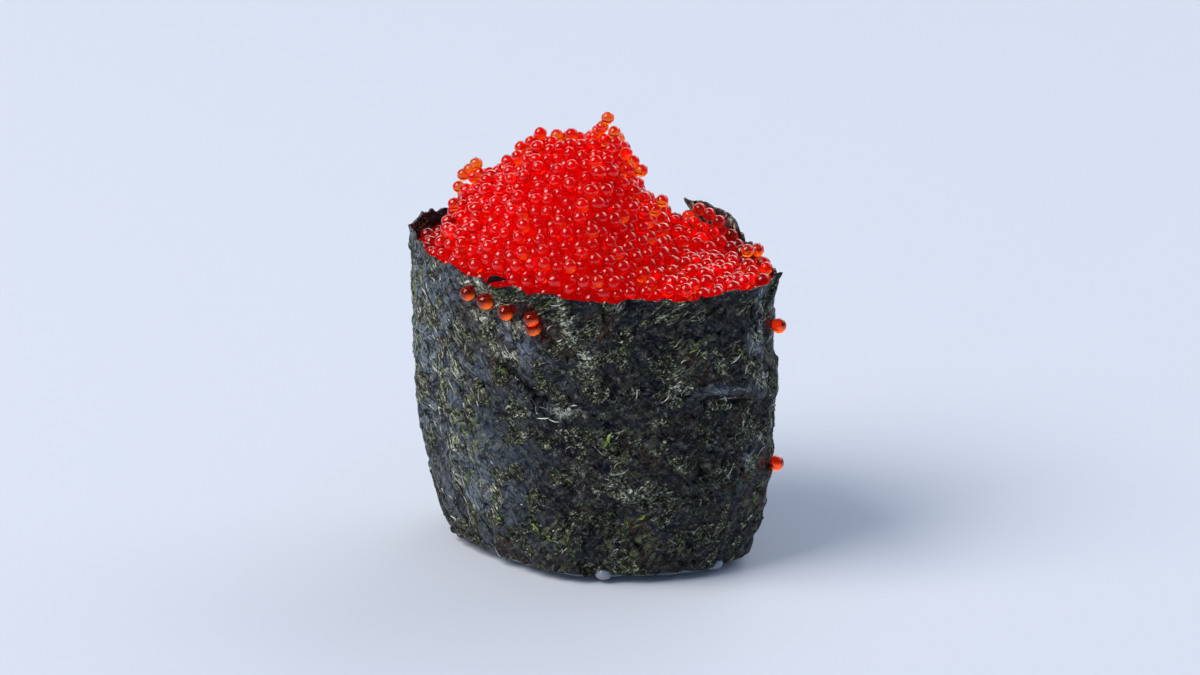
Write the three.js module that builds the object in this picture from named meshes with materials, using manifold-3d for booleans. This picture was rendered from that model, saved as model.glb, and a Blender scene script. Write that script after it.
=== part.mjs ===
// A gunkan sushi: a tall band of dried seaweed wrapped round pressed rice and heaped with
// flying fish roe. Units are millimetres and +Z is up. The origin lies under the middle of
// the band, on the surface that the sushi stands on. The side that is seen first faces -Y.

import * as THREE from "three";
import { mergeVertices } from "three/addons/utils/BufferGeometryUtils.js";
import Module from "manifold-3d";

const wasm = await Module();
wasm.setup();

// Driving dimensions of the band, an upright oval made of one strip of seaweed
const BAND_HALF_LENGTH = 22.4;
const BAND_HALF_WIDTH = 15.5;
const BAND_FULLNESS = 1.7; // 2 would be an ellipse, and less than 2 pinches the two ends
const STRIP_WIDTH = 35;
const STRIP_THICKNESS = 0.4;
const LAYER_GAP = 0.3;
const STANDING_GAP = 1.2; // the rice lifts the band's lower edge off the surface
const RIM_SLOPE_ALONG_X = -0.82;
const RIM_SLOPE_ALONG_Y = 0.92;
const FLARE = 0.03; // share of the radius that the wall gains from its foot to its rim
const TUCK = 0.13; // share of the radius that the foot draws in by
const TUCK_HEIGHT = 0.45; // share of the wall that the drawing in takes up
const FOOT_LEAN_X = 0.69;
const FOOT_LEAN_Y = -0.19;

// Places along the strip are turns in degrees: 0 at +X, 270 at the front
const STRIP_START = 43;
const STRIP_END = 432;
const SINK_TURNS = 26; // the first layer sinks under the second over this many degrees
const STEP_TURNS = 6;
const ROW_SHARES = [0, 0.08, 0.18, 0.29, 0.4, 0.5, 0.57, 0.62, 0.69, 0.78, 0.87, 0.95, 1];

// The strip's free corner stands up above the rim at the back and leans over the roe
const CORNER = { rise: 3.1, from: 402, to: 418, drop: 0.7 };
const CORNER_LEAN = { depth: 1.1, from: 410, share: 0.95 };
const CORNER_POINT = { turns: 8, share: 0.9 }; // below its tip the strip's end draws back
const COVERED_RIM = { dip: 2.4, from: 74, to: 90 }; // the first layer's rim under the corner
const SHOULDER = { dip: 0.7, turn: 32, turns: 12 };
const RISE_FADE = 6; // the higher this power, the nearer the rim its ups and downs stay

// Folds and dents of the strip: depths in millimetres, places in turns and shares of height
const FOLD = { middle: 340, reach: 17, share: 0.62, breadth: 0.035, depth: 0.75, swell: 0.45 };
const DENTS = [
  { turn: 356, share: 0.78, turns: 6, shares: 0.06, depth: 0.6 },
  { turn: 250, share: 0.82, turns: 9, shares: 0.07, depth: 0.35 },
  { turn: 222, share: 0.5, turns: 8, shares: 0.16, depth: 0.3 },
  { turn: 300, share: 0.3, turns: 12, shares: 0.1, depth: -0.3 },
  { turn: 120, share: 0.6, turns: 14, shares: 0.12, depth: 0.4 },
  { turn: 158, share: 0.3, turns: 10, shares: 0.12, depth: -0.3 },
];
// Waves of the wall and of its rim: height in millimetres, counts round and up the band
const BUCKLES = [
  { height: 0.12, round: 7, up: 1.5, start: 0 },
  { height: 0.1, round: 13, up: -1.4, start: 2 },
  { height: 0.07, round: 4, up: 3.1, start: 1 },
];
const RIM_WAVES = [
  { height: 0.22, round: 11, up: 0, start: 0 },
  { height: 0.15, round: 29, up: 0, start: 1 },
];
const TEAR = { turn: 256, turns: 3, depth: 0.9 };

// The roe
const EGG_RADIUS = 0.88;
const FEW_SIDES_GROWTH = 1.12; // gives an egg with few sides a round one's bulk
const ROE_FLOOR = 22.3;
const HEAP_RINGS = 20;
const EGG_BUMP = 0.75;
const SCATTER = 0.16;
const CREST_Y = 2;
const CREST_SINK = 0.45;
const CREST_ROUNDNESS = 0.3; // share of a slope over which the crest rounds off
const RIM_LEVEL = -0.35; // the roe's level at the wall, over the rim there
const LEFT_CORNER = { drop: 1.3, from: 12, to: 18 };
// Along the crest: X, and the height of the topmost eggs' middles
const CREST = [
  [-22, 35],
  [-19.4, 35.6],
  [-17.4, 41.4],
  [-13.5, 42.8],
  [-10.5, 45.2],
  [-7.5, 48],
  [2.6, 48.8],
  [5, 44.6],
  [7.6, 40.6],
  [9.6, 38],
  [12.5, 37.2],
  [22, 36.4],
];
const PROUD_EGGS = 42;
const PROUD_REACH = 0.94;
const PROUD_STANDS = [0.3, 0.6];
const EGG_SIZES = [0.9, 1.08];
// Eggs that stand clear of the heap, as X, Y, Z of their middles
const STANDING_EGGS = [
  [1.3, 2, 51.4],
  [0.6, 2, 50.3],
  [2.2, 1.8, 49.8],
  [1, 1.9, 49],
  [-17, 2, 42.5],
  [-15.5, 2.4, 43.9],
  [-15.6, 1.9, 42.6],
  [-7.1, 2, 48.6],
  [-5.3, 2.6, 48.4],
  [-3.2, 2, 48.9],
  [5.5, 2, 45.6],
  [8.2, 1.6, 42.4],
  [9.2, 10.9, 38.3],
  [10.1, 9.8, 37.6],
  [8.6, 10.1, 37.3],
  [11, 10.4, 37.3],
  [18.5, 2, 37.6],
];
// Eggs stuck to the outside of the strip, as turn and share of height
const STRAY_EGGS = [
  [244, 0.936],
  [251.5, 0.93],
  [260, 0.915],
  [267.5, 0.92],
  [268.6, 0.893],
  [1, 0.836],
  [6, 0.321],
];
const STRAY_STAND = 0.62;

// The rice
const RICE_FOOT = 1.7;
const RICE_SHOULDER = 8;
const RICE_TOP = 22;
const GRAIN = { length: 6.2, width: 2.9, height: 2.6 };
const GRAIN_GROWTH = 1.2; // for a grain's few sides, as for the eggs'
const FOOT_RINGS = 8;
const GRAIN_BUMP = 0.8;
const GRAIN_COUNT = 19;
const GRAIN_TILT = 0.14;
const GRAIN_REACH = 0.83;
const GRAIN_LIFTS = [0.95, 1.2];
// Grains that show under the band's lower edge: X, Y, Z and heading in degrees
const PEEPING_GRAINS = [
  [6, -11.3, 0.75, 108],
  [16.3, -3.1, 0.8, 158],
];

const FIT_GAP = 0.32;
const PLUG_GAP = 0.42; // a little more, as a plug's facets don't line up with the strip's
const GROUND = { side: 80, depth: 20 }; // cut away, so that grains rest on flat spots
const NORMAL_STEP = { reach: 0.03, turns: 4, least: 0.06 };
const SEED = 41;

const { degToRad, smoothstep, seededRandom } = THREE.MathUtils;

// A number between low and high, the same on every run
function between(low, high) {
  return low + (high - low) * seededRandom();
}

// A hump of height 1 at the middle that dies away over the breadth
function hump(value, middle, breadth) {
  return Math.exp(-(((value - middle) / breadth) ** 2));
}

// The shortest way round from one turn to another
function turnGap(turn, other) {
  return ((((turn - other) % 360) + 540) % 360) - 180;
}

// Height at a place on a line of [place, height] pairs
function heightAlong(line, place) {
  const next = Math.min(Math.max(line.findIndex(([x]) => x > place), 1), line.length - 1);
  const [x0, z0] = line[next - 1];
  const [x1, z1] = line[next];
  return z0 + ((z1 - z0) * (THREE.MathUtils.clamp(place, x0, x1) - x0)) / (x1 - x0);
}

// Sum of waves at a place of the band
function wavesAt(waves, turn, share) {
  const phase = ({ round, up, start }) => round * degToRad(turn) + up * Math.PI * share + start;
  return waves.reduce((sum, wave) => sum + wave.height * Math.sin(phase(wave)), 0);
}

// Bearing in radians and radius of the band's outer face at the rim
function bandOutline(turn) {
  const angle = degToRad(turn);
  const bearing = Math.atan2(BAND_HALF_WIDTH * Math.sin(angle), BAND_HALF_LENGTH * Math.cos(angle));
  const alongX = Math.abs(Math.cos(bearing) / BAND_HALF_LENGTH) ** BAND_FULLNESS;
  const alongY = Math.abs(Math.sin(bearing) / BAND_HALF_WIDTH) ** BAND_FULLNESS;
  return { bearing, radius: (alongX + alongY) ** (-1 / BAND_FULLNESS) };
}

// How far folds, dents and buckles push the wall outwards
function relief(turn, share) {
  let push = wavesAt(BUCKLES, turn, share);
  const inFold = hump(turnGap(turn, FOLD.middle), 0, FOLD.reach);
  push -= FOLD.depth * inFold * hump(share, FOLD.share, FOLD.breadth);
  push += FOLD.swell * inFold * hump(share, FOLD.share + 3 * FOLD.breadth, 2 * FOLD.breadth);
  for (const dent of DENTS) {
    const across = hump(turnGap(turn, dent.turn), 0, dent.turns);
    push -= dent.depth * across * hump(share, dent.share, dent.shares);
  }
  return push;
}

// A point of the wall: share is 0 at the lower edge and 1 at the rim, outwards moves off it
function bandPoint(turn, share, outwards = 0, rise = 0) {
  const { bearing, radius } = bandOutline(turn);
  const drawnIn = TUCK * Math.max(0, 1 - share / TUCK_HEIGHT) ** 2 + FLARE * (1 - share);
  const reach = radius * (1 - drawnIn) + relief(turn, share) + outwards;
  const width =
    STRIP_WIDTH + RIM_SLOPE_ALONG_X * Math.cos(bearing) + RIM_SLOPE_ALONG_Y * Math.sin(bearing);
  return new THREE.Vector3(
    Math.cos(bearing) * reach + FOOT_LEAN_X * (1 - share),
    Math.sin(bearing) * reach + FOOT_LEAN_Y * (1 - share),
    STANDING_GAP + width * share + rise,
  );
}

function solidFrom(geometry) {
  const bare = new THREE.BufferGeometry();
  bare.setAttribute("position", geometry.getAttribute("position"));
  bare.setIndex(geometry.index);
  const merged = mergeVertices(bare, 1e-4);
  return new wasm.Manifold(
    new wasm.Mesh({
      numProp: 3,
      vertProperties: new Float32Array(merged.attributes.position.array),
      triVerts: new Uint32Array(merged.index.array),
    }),
  );
}

function meshFrom(name, solid, material) {
  const { vertProperties, triVerts } = solid.getMesh();
  const geometry = new THREE.BufferGeometry();
  geometry.setAttribute("position", new THREE.BufferAttribute(new Float32Array(vertProperties), 3));
  geometry.setIndex(new THREE.BufferAttribute(new Uint32Array(triVerts), 1));
  geometry.computeVertexNormals();
  const mesh = new THREE.Mesh(geometry, material);
  mesh.name = name;
  return mesh;
}

// The outer skin of the largest piece: sealed hollows are filled and loose scraps dropped
function mainBody(solid) {
  return solid.decompose().reduce((best, next) => (next.volume() > best.volume() ? next : best));
}

function geometryFrom(points, faces) {
  const geometry = new THREE.BufferGeometry();
  geometry.setFromPoints(points);
  geometry.setIndex(faces);
  return geometry;
}

// A small egg with few sides round a point
function egg(centre, radius) {
  const ball = new THREE.IcosahedronGeometry(radius * FEW_SIDES_GROWTH, 0);
  ball.rotateX(between(0, Math.PI));
  ball.rotateZ(between(0, Math.PI));
  ball.translate(centre.x, centre.y, centre.z);
  return solidFrom(ball);
}

// Extra height of the strip's rim: ragged all along, torn once, dipping where it is covered
function rimRise(turn) {
  let rise = wavesAt(RIM_WAVES, turn, 1);
  rise -= TEAR.depth * hump(turn, TEAR.turn, TEAR.turns);
  rise -= COVERED_RIM.dip * (1 - smoothstep(turn, COVERED_RIM.from, COVERED_RIM.to));
  rise -= SHOULDER.dip * hump(turnGap(turn, SHOULDER.turn), 0, SHOULDER.turns);
  rise += CORNER.rise * smoothstep(turn, CORNER.from, CORNER.to);
  rise -= CORNER.drop * smoothstep(turn, CORNER.to, STRIP_END);
  return rise;
}

// The strip between two faces, each a distance from the wall's own outer face
function stripGeometry(outerFace, innerFace, margin) {
  const columns = Math.round((STRIP_END - STRIP_START) / STEP_TURNS);
  const rows = ROW_SHARES.length;
  const points = [];
  const faceOffset = columns * rows + rows;
  const place = (column, row, depth) => {
    const share = ROW_SHARES[row];
    const last = STRIP_END - CORNER_POINT.turns * (1 - smoothstep(share, CORNER_POINT.share, 1));
    const turn = STRIP_START + ((last - STRIP_START) * column) / columns;
    const covered = 1 - smoothstep(turn, STRIP_END - 360, STRIP_END - 360 + SINK_TURNS);
    const leaning = smoothstep(turn, CORNER_LEAN.from, STRIP_END) * smoothstep(share, CORNER_LEAN.share, 1);
    const outwards = depth - (STRIP_THICKNESS + LAYER_GAP) * covered - CORNER_LEAN.depth * leaning;
    const edge = margin * ((row === rows - 1) - (row === 0));
    return bandPoint(turn, share, outwards, rimRise(turn) * share ** RISE_FADE + edge);
  };
  for (const depth of [outerFace, innerFace])
    for (let column = 0; column <= columns; column++)
      for (let row = 0; row < rows; row++) points.push(place(column, row, depth));

  const faces = [];
  const quad = (a, b, c, d) => faces.push(a, b, c, a, c, d);
  for (let column = 0; column < columns; column++)
    for (let row = 0; row < rows - 1; row++) {
      const outer = column * rows + row;
      const inner = outer + faceOffset;
      quad(outer, outer + rows, outer + rows + 1, outer + 1);
      quad(inner, inner + 1, inner + rows + 1, inner + rows);
    }
  for (let column = 0; column < columns; column++) {
    const low = column * rows;
    const high = low + rows - 1;
    quad(low, low + faceOffset, low + faceOffset + rows, low + rows);
    quad(high, high + rows, high + faceOffset + rows, high + faceOffset);
  }
  for (let row = 0; row < rows - 1; row++) {
    const first = row;
    const last = columns * rows + row;
    quad(first, first + 1, first + faceOffset + 1, first + faceOffset);
    quad(last, last + faceOffset, last + faceOffset + 1, last + 1);
  }
  return geometryFrom(points, faces);
}

function noriSolid() {
  let strip = solidFrom(stripGeometry(0, -STRIP_THICKNESS, 0));
  for (const [turn, share] of STRAY_EGGS)
    strip = strip.add(egg(bandPoint(turn, share, STRAY_STAND * EGG_RADIUS), EGG_RADIUS));
  return mainBody(strip);
}

// The strip grown by the fitting gap on every side, cut out of what lies against it
function noriClearance() {
  return solidFrom(stripGeometry(FIT_GAP, -STRIP_THICKNESS - FIT_GAP, FIT_GAP));
}

// Triangles of a face of hexagonal rings, where each ring has six points more than the last
function hexagonFaces(rings) {
  const first = (ring) => (ring ? 1 + 3 * ring * (ring - 1) : 0);
  const at = (ring, step) => first(ring) + (ring ? step % (6 * ring) : 0);
  const faces = [];
  for (let ring = 1; ring <= rings; ring++)
    for (let side = 0; side < 6; side++)
      for (let step = 0; step < ring; step++) {
        const outer = side * ring + step;
        const inner = side * (ring - 1) + step;
        faces.push(at(ring - 1, inner), at(ring, outer), at(ring, outer + 1));
        if (step < ring - 1)
          faces.push(at(ring - 1, inner), at(ring, outer + 1), at(ring - 1, inner + 1));
      }
  return faces;
}

// A closed plug inside the band: one knobbly face of hexagonal rings where every third point
// stands up, a wall that follows the band from share to share, and a flat face at its far end
function plugGeometry({ rings, facePoint, faceNormal, bump, wallShares, flatHeight, facesUp }) {
  const points = [facePoint(0, 0)];
  for (let ring = 1; ring <= rings; ring++)
    for (let step = 0; step < 6 * ring; step++) {
      const turn = (60 * step) / ring;
      const reach = ring / rings;
      const point = facePoint(turn, reach);
      const standing = (ring + (step % ring)) % 3 === 0 ? bump : 0;
      if (ring < rings)
        point.addScaledVector(faceNormal(turn, reach), standing + between(-SCATTER, SCATTER));
      points.push(point);
    }
  const faces = hexagonFaces(rings);
  const count = 6 * rings;
  let upper = points.length - count;
  for (const share of wallShares) {
    const lower = points.length;
    for (let step = 0; step < count; step++) {
      const point = bandPoint((360 * step) / count, share, -STRIP_THICKNESS - PLUG_GAP);
      if (share === wallShares[wallShares.length - 1]) point.z = flatHeight;
      points.push(point);
    }
    for (let step = 0; step < count; step++) {
      const next = (step + 1) % count;
      faces.push(lower + step, lower + next, upper + next);
      faces.push(lower + step, upper + next, upper + step);
    }
    upper = lower;
  }
  const middle = points.push(new THREE.Vector3(0, 0, flatHeight)) - 1;
  for (let step = 0; step < count; step++)
    faces.push(middle, upper + ((step + 1) % count), upper + step);
  if (!facesUp) faces.reverse();
  return geometryFrom(points, faces);
}

// The share of the wall at which it is so high
function shareAt(height) {
  return (height - STANDING_GAP) / STRIP_WIDTH;
}

// Half the band's width at a place along X
function halfWidthAt(x) {
  const left = Math.max(0, 1 - Math.abs(x / BAND_HALF_LENGTH) ** BAND_FULLNESS);
  return BAND_HALF_WIDTH * left ** (1 / BAND_FULLNESS);
}

// Level of the heap at a place, given the wall's rim beyond it
function heapHeight(point, wall) {
  const inCorner = smoothstep(-point.x, LEFT_CORNER.from, LEFT_CORNER.to);
  const edge = wall.z + RIM_LEVEL - LEFT_CORNER.drop * inCorner;
  const crest = heightAlong(CREST, point.x) - CREST_SINK;
  const side = point.y < CREST_Y ? -1 : 1;
  const run = Math.max(halfWidthAt(point.x) - side * CREST_Y, 1);
  const away = Math.min(Math.abs(point.y - CREST_Y) / run, 1);
  const fall = (Math.hypot(away, CREST_ROUNDNESS) - CREST_ROUNDNESS)
    / (Math.hypot(1, CREST_ROUNDNESS) - CREST_ROUNDNESS);
  return edge + (crest - edge) * (1 - fall);
}

// A point of the heap: reach is 0 in the middle and 1 at the wall
function heapPoint(turn, reach) {
  const wall = bandPoint(turn, 1, -STRIP_THICKNESS - PLUG_GAP);
  const point = new THREE.Vector3(wall.x * reach, wall.y * reach, 0);
  point.z = heapHeight(point, wall);
  return point;
}

// Which way the heap's face looks at a point
function heapNormal(turn, share) {
  const reach = Math.max(share, NORMAL_STEP.least);
  const here = heapPoint(turn, reach);
  const outer = heapPoint(turn, Math.min(reach + NORMAL_STEP.reach, 1)).sub(here);
  const beside = heapPoint(turn + NORMAL_STEP.turns, reach).sub(here);
  return outer.cross(beside).normalize();
}

// The reach and turn of place number `index` of `count`, spread evenly over an oval
function evenPlace(index, count) {
  const goldenTurn = 180 * (3 - Math.sqrt(5));
  return { turn: (goldenTurn * index) % 360, reach: Math.sqrt((index + 0.5) / count) };
}

function roeSolid(clearance) {
  let roe = solidFrom(
    plugGeometry({
      rings: HEAP_RINGS,
      facePoint: heapPoint,
      faceNormal: heapNormal,
      bump: EGG_BUMP,
      wallShares: [shareAt(ROE_FLOOR)],
      flatHeight: ROE_FLOOR,
      facesUp: true,
    }),
  );
  for (let index = 0; index < PROUD_EGGS; index++) {
    const place = evenPlace(index, PROUD_EGGS);
    const reach = PROUD_REACH * place.reach;
    const centre = heapPoint(place.turn, reach);
    centre.addScaledVector(heapNormal(place.turn, reach), between(...PROUD_STANDS));
    roe = roe.add(egg(centre, EGG_RADIUS * between(...EGG_SIZES)));
  }
  for (const place of STANDING_EGGS) roe = roe.add(egg(new THREE.Vector3(...place), EGG_RADIUS));
  return mainBody(roe.subtract(clearance));
}

// One grain of rice, long along X before it is turned
function grain(centre, heading, tilt) {
  const body = new THREE.SphereGeometry(0.5, 6, 3);
  body.rotateZ(Math.PI / 2);
  body.scale(GRAIN.length, GRAIN.width * GRAIN_GROWTH, GRAIN.height * GRAIN_GROWTH);
  body.rotateY(tilt);
  body.rotateZ(heading);
  body.translate(centre.x, centre.y, centre.z);
  return solidFrom(body);
}

function riceSolid(clearance) {
  const footPoint = (turn, reach) => {
    const wall = bandPoint(turn, shareAt(RICE_FOOT), -STRIP_THICKNESS - PLUG_GAP);
    return new THREE.Vector3(wall.x * reach, wall.y * reach, RICE_FOOT);
  };
  let rice = solidFrom(
    plugGeometry({
      rings: FOOT_RINGS,
      facePoint: footPoint,
      faceNormal: () => new THREE.Vector3(0, 0, -1),
      bump: GRAIN_BUMP,
      wallShares: [shareAt(RICE_SHOULDER), shareAt(RICE_TOP)],
      flatHeight: RICE_TOP,
      facesUp: false,
    }),
  );
  for (let index = 0; index < GRAIN_COUNT; index++) {
    const place = evenPlace(index, GRAIN_COUNT);
    const centre = footPoint(place.turn, index ? GRAIN_REACH * place.reach : 0);
    centre.z = index ? between(...GRAIN_LIFTS) : GRAIN_LIFTS[0];
    const tilt = index ? between(-GRAIN_TILT, GRAIN_TILT) : 0;
    rice = rice.add(grain(centre, between(0, Math.PI), tilt));
  }
  for (const [x, y, z, heading] of PEEPING_GRAINS)
    rice = rice.add(grain(new THREE.Vector3(x, y, z), degToRad(heading), 0));
  const ground = new THREE.BoxGeometry(GROUND.side, GROUND.side, GROUND.depth);
  ground.translate(0, 0, -GROUND.depth / 2);
  return mainBody(rice.subtract(solidFrom(ground)).subtract(clearance));
}

const noriLook = new THREE.MeshStandardMaterial({ color: 0x1b201c, roughness: 0.42, metalness: 0 });
const roeLook = new THREE.MeshStandardMaterial({ color: 0xd2140c, roughness: 0.15, metalness: 0 });
const riceLook = new THREE.MeshStandardMaterial({ color: 0xe6e8e4, roughness: 0.35, metalness: 0 });

seededRandom(SEED);
const clearance = noriClearance();
const sushi = new THREE.Group();
sushi.add(meshFrom("rice", riceSolid(clearance), riceLook));
sushi.add(meshFrom("nori", noriSolid(), noriLook));
sushi.add(meshFrom("tobiko", roeSolid(clearance), roeLook));

export default sushi;
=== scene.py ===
# %% [markdown]
# # Dressing a gunkan sushi
# A gunkan sushi is a tall oval band of dried seaweed, one long strip wrapped round a block of
# pressed rice and heaped with something loose, here the small red eggs of flying fish. This
# lesson builds what the eye sees of it: a crinkled sheet with fibres in it, a heap of wet
# translucent eggs, and the grains of rice that it stands on.
#
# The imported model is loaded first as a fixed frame. Each new piece takes the place of one of
# its solids, in metres and in the same frame, so nothing has to be fitted by eye.

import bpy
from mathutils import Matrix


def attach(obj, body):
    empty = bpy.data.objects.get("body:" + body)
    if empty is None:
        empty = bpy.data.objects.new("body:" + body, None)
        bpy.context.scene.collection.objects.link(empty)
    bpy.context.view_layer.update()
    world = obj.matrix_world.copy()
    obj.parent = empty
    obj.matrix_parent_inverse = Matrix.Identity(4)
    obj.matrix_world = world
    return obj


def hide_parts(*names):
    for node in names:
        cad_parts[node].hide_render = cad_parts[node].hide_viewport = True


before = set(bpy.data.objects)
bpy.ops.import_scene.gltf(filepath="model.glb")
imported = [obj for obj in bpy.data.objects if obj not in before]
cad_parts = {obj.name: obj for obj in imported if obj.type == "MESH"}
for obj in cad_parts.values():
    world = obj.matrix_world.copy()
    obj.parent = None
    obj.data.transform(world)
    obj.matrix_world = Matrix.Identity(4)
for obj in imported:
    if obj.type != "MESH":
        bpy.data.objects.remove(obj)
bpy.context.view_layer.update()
print("nodes:", sorted(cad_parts))

# %% Tools and units
import math

import bpy
import numpy as np
from mathutils import Vector, noise

MM = 0.001  # sizes below are in millimetres, and meshes are in metres
print("Blender", bpy.app.version_string)

# %% [markdown]
# ## The wall that everything follows
# The strip, the heap and the rice all follow one oval wall. A maker would draw it once and
# measure everything else from it, so it comes first, as a few functions that turn a place on
# the wall into a point. A place is a turn round the oval in degrees, 0 at +X and 270 at the
# front, and a share of the height, 0 at the lower edge and 1 at the rim. The functions take
# whole arrays, because the strip alone has over forty thousand points.

# %% Sizes of the band
HALF_LENGTH = 22.4
HALF_WIDTH = 15.5
FULLNESS = 1.7  # 2 would be an ellipse, and less pinches the two ends
STRIP_WIDTH = 35
STANDING_GAP = 1.2  # the rice lifts the strip's lower edge off the surface
RIM_SLOPE = (-0.82, 0.92)  # how much wider the strip is towards +X and +Y
FLARE = 0.03  # by this share the foot is narrower than the rim
TUCK = 0.13  # and by this share more it is drawn in, up to the tuck's height
TUCK_HEIGHT = 0.45
FOOT_LEAN = (0.69, -0.19)  # how far the foot stands from under the rim's middle
STRIP_START = 43
STRIP_END = 432  # more than one turn after its start, so the ends overlap


def smooth(value, low, high):
    """A soft step from 0 at the low value to 1 at the high one."""
    share = np.clip((value - low) / (high - low), 0, 1)
    return share * share * (3 - 2 * share)


def hump(gap, breadth):
    """1 where there is no gap, and less the wider it is."""
    return np.exp(-((gap / breadth) ** 2))


def turn_gap(turn, other):
    """Degrees from one turn to another, the shorter way round."""
    return (turn - other + 180) % 360 - 180


print("the strip covers", STRIP_END - STRIP_START, "degrees")

# %% Folds, dents and waves of the wall
FOLD = {"turn": 342, "turns": 17, "share": 0.615, "slope": -0.0019, "lip": 0.012}
FOLD_PUSH = {"under": 0.05, "over": 0.11, "depth": 0.5, "swell": 0.8}
# Each dent: turn, share, how far it reaches in turns and in shares, and its depth
DENTS = [
    (3, 0.745, 7, 0.032, 1.25),
    (6, 0.62, 8, 0.05, -0.35),
    (4, 0.98, 7, 0.05, -0.5),
    (349, 0.84, 1.6, 0.13, -0.5),
    (354.5, 0.8, 2, 0.12, 0.45),
    (250, 0.82, 9, 0.07, 0.35),
    (222, 0.5, 8, 0.16, 0.3),
    (300, 0.3, 12, 0.1, -0.3),
    (120, 0.6, 14, 0.12, 0.4),
    (158, 0.3, 10, 0.12, -0.3),
]
# Each wave: height, count round the band, half counts up the band, and where it starts
BUCKLES = [(0.12, 7, 1.5, 0), (0.1, 13, -1.4, 2), (0.07, 4, 3.1, 1)]
RIM_WAVES = [(0.22, 11, 0, 0), (0.15, 29, 0, 1)]


def waves(kinds, turn, share):
    total = 0
    for height, around, up, start in kinds:
        total = total + height * np.sin(around * np.radians(turn) + up * math.pi * share + start)
    return total


def relief(turn, share):
    in_fold = hump(turn_gap(turn, FOLD["turn"]), FOLD["turns"])
    off = share - FOLD["share"] - FOLD["slope"] * turn_gap(turn, FOLD["turn"])
    over = smooth(off, -FOLD["lip"], FOLD["lip"])
    push = waves(BUCKLES, turn, share)
    push = push + FOLD_PUSH["swell"] * in_fold * over * hump(off, FOLD_PUSH["over"])
    push = push - FOLD_PUSH["depth"] * in_fold * (1 - over) * hump(off, FOLD_PUSH["under"])
    for dent_turn, dent_share, turns, shares, depth in DENTS:
        push = push - depth * hump(turn_gap(turn, dent_turn), turns) * hump(share - dent_share, shares)
    return push


print("deepest fold:", FOLD_PUSH["depth"], "mm")

# %% A point of the wall
def outline(turn):
    """Bearing in radians and radius of the oval at the rim."""
    angle = np.radians(turn)
    bearing = np.arctan2(HALF_WIDTH * np.sin(angle), HALF_LENGTH * np.cos(angle))
    along = np.abs(np.cos(bearing) / HALF_LENGTH) ** FULLNESS
    across = np.abs(np.sin(bearing) / HALF_WIDTH) ** FULLNESS
    return bearing, (along + across) ** (-1 / FULLNESS)


def wall_point(turn, share, outwards=0.0, rise=0.0):
    bearing, radius = outline(turn)
    drawn_in = TUCK * np.maximum(0, 1 - share / TUCK_HEIGHT) ** 2 + FLARE * (1 - share)
    reach = radius * (1 - drawn_in) + relief(turn, share) + outwards
    width = STRIP_WIDTH + RIM_SLOPE[0] * np.cos(bearing) + RIM_SLOPE[1] * np.sin(bearing)
    x = np.cos(bearing) * reach + FOOT_LEAN[0] * (1 - share)
    y = np.sin(bearing) * reach + FOOT_LEAN[1] * (1 - share)
    z = STANDING_GAP + width * share + rise
    return np.stack(np.broadcast_arrays(x, y, z), axis=-1)


def turn_towards(x, y):
    """The turn at which the oval's bearing points from the middle to a place."""
    return np.degrees(np.arctan2(HALF_LENGTH * y, HALF_WIDTH * x))


print("front of the rim:", np.round(wall_point(270, 1.0), 2))

# %% [markdown]
# ## Noise that repeats
# Crinkles, ragged edges and patches need a rule that looks random and still gives the same
# result on every run. Blender's own noise does that: it is a fixed field in space, so it is
# enough to read it at a place. Reading it at a stretched place gives creases that run one way.

# %% Reading the noise field
def field(x, y, layer, size, octaves=1):
    """Noise from about -1 to 1 over two coordinates, with humps of a given size."""
    x, y = np.broadcast_arrays(x, y)
    flat = zip(x.ravel() / size, y.ravel() / size)
    if octaves == 1:
        values = [noise.noise((a, b, layer)) for a, b in flat]
    else:
        values = [noise.fractal((a, b, layer), 1, 2, octaves) for a, b in flat]
    return np.array(values).reshape(x.shape)


def slanted(x, y, degrees, stretch):
    """Coordinates along and across a slanting direction, shortened along it."""
    angle = math.radians(degrees)
    along = (x * math.cos(angle) + y * math.sin(angle)) / stretch
    return along, y * math.cos(angle) - x * math.sin(angle)


def uneven(kind, x, y):
    """A layer of noise, told by its height, its layer, the size of its humps and its octaves."""
    height, layer, size, octaves = kind
    return height * field(x, y, layer, size, octaves)


print("noise at one place:", round(float(field(0.5, 0.5, 1, 2)), 3))

# %% [markdown]
# ## The seaweed strip
# The real sheet is a thin felt of chopped seaweed. Dry it is flat and crisp, and round moist
# rice it turns to leather: it buckles, puckers and keeps a fold where it was bent. It could be
# a cloth simulation, but the folds that show are few and have known places, so they are moved
# in the wall's functions, and noise adds the crinkles that nobody would place one by one. The
# mesh starts as a flat grid, as the real strip does. Each point is then wrapped round the wall,
# and Solidify gives the sheet its thickness, with the cut edge as a second material.

# %% The strip's own sizes
SHEET = 0.28  # thickness
SINK = 0.42  # how far the first layer sinks under the second
SINK_TURNS = 26  # and over how many degrees it comes out again
LEFT_END = 225  # the turn in the middle of the left end, where creases and fibres slant one way
LEFT_SLANT = -52  # degrees
LEFT_TURNS = {"crinkles": 42, "creases": 48}  # how far that end reaches for each
CELL = 0.31  # side of one face of the sheet
# The last upper corner stands free: how high it rises, leans inwards and sticks out
CORNER = {"rise": 3.1, "start": 402, "top": 418, "drop": 0.7}
CORNER_LEAN = {"depth": 1.1, "start": 410, "share": 0.95}
CORNER_POINT = {"turns": 8, "share": 0.9}
COVERED_RIM = {"dip": 2.4, "start": 74, "end": 90}  # the first layer's rim hides behind the second
SHOULDER = {"dip": 0.8, "turn": 26, "turns": 14}  # a low stretch of the rim before the corner
EAR = {"turn": 364, "turns": 1.3, "outwards": 1.1}  # a point of the rim that curls outwards
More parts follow.
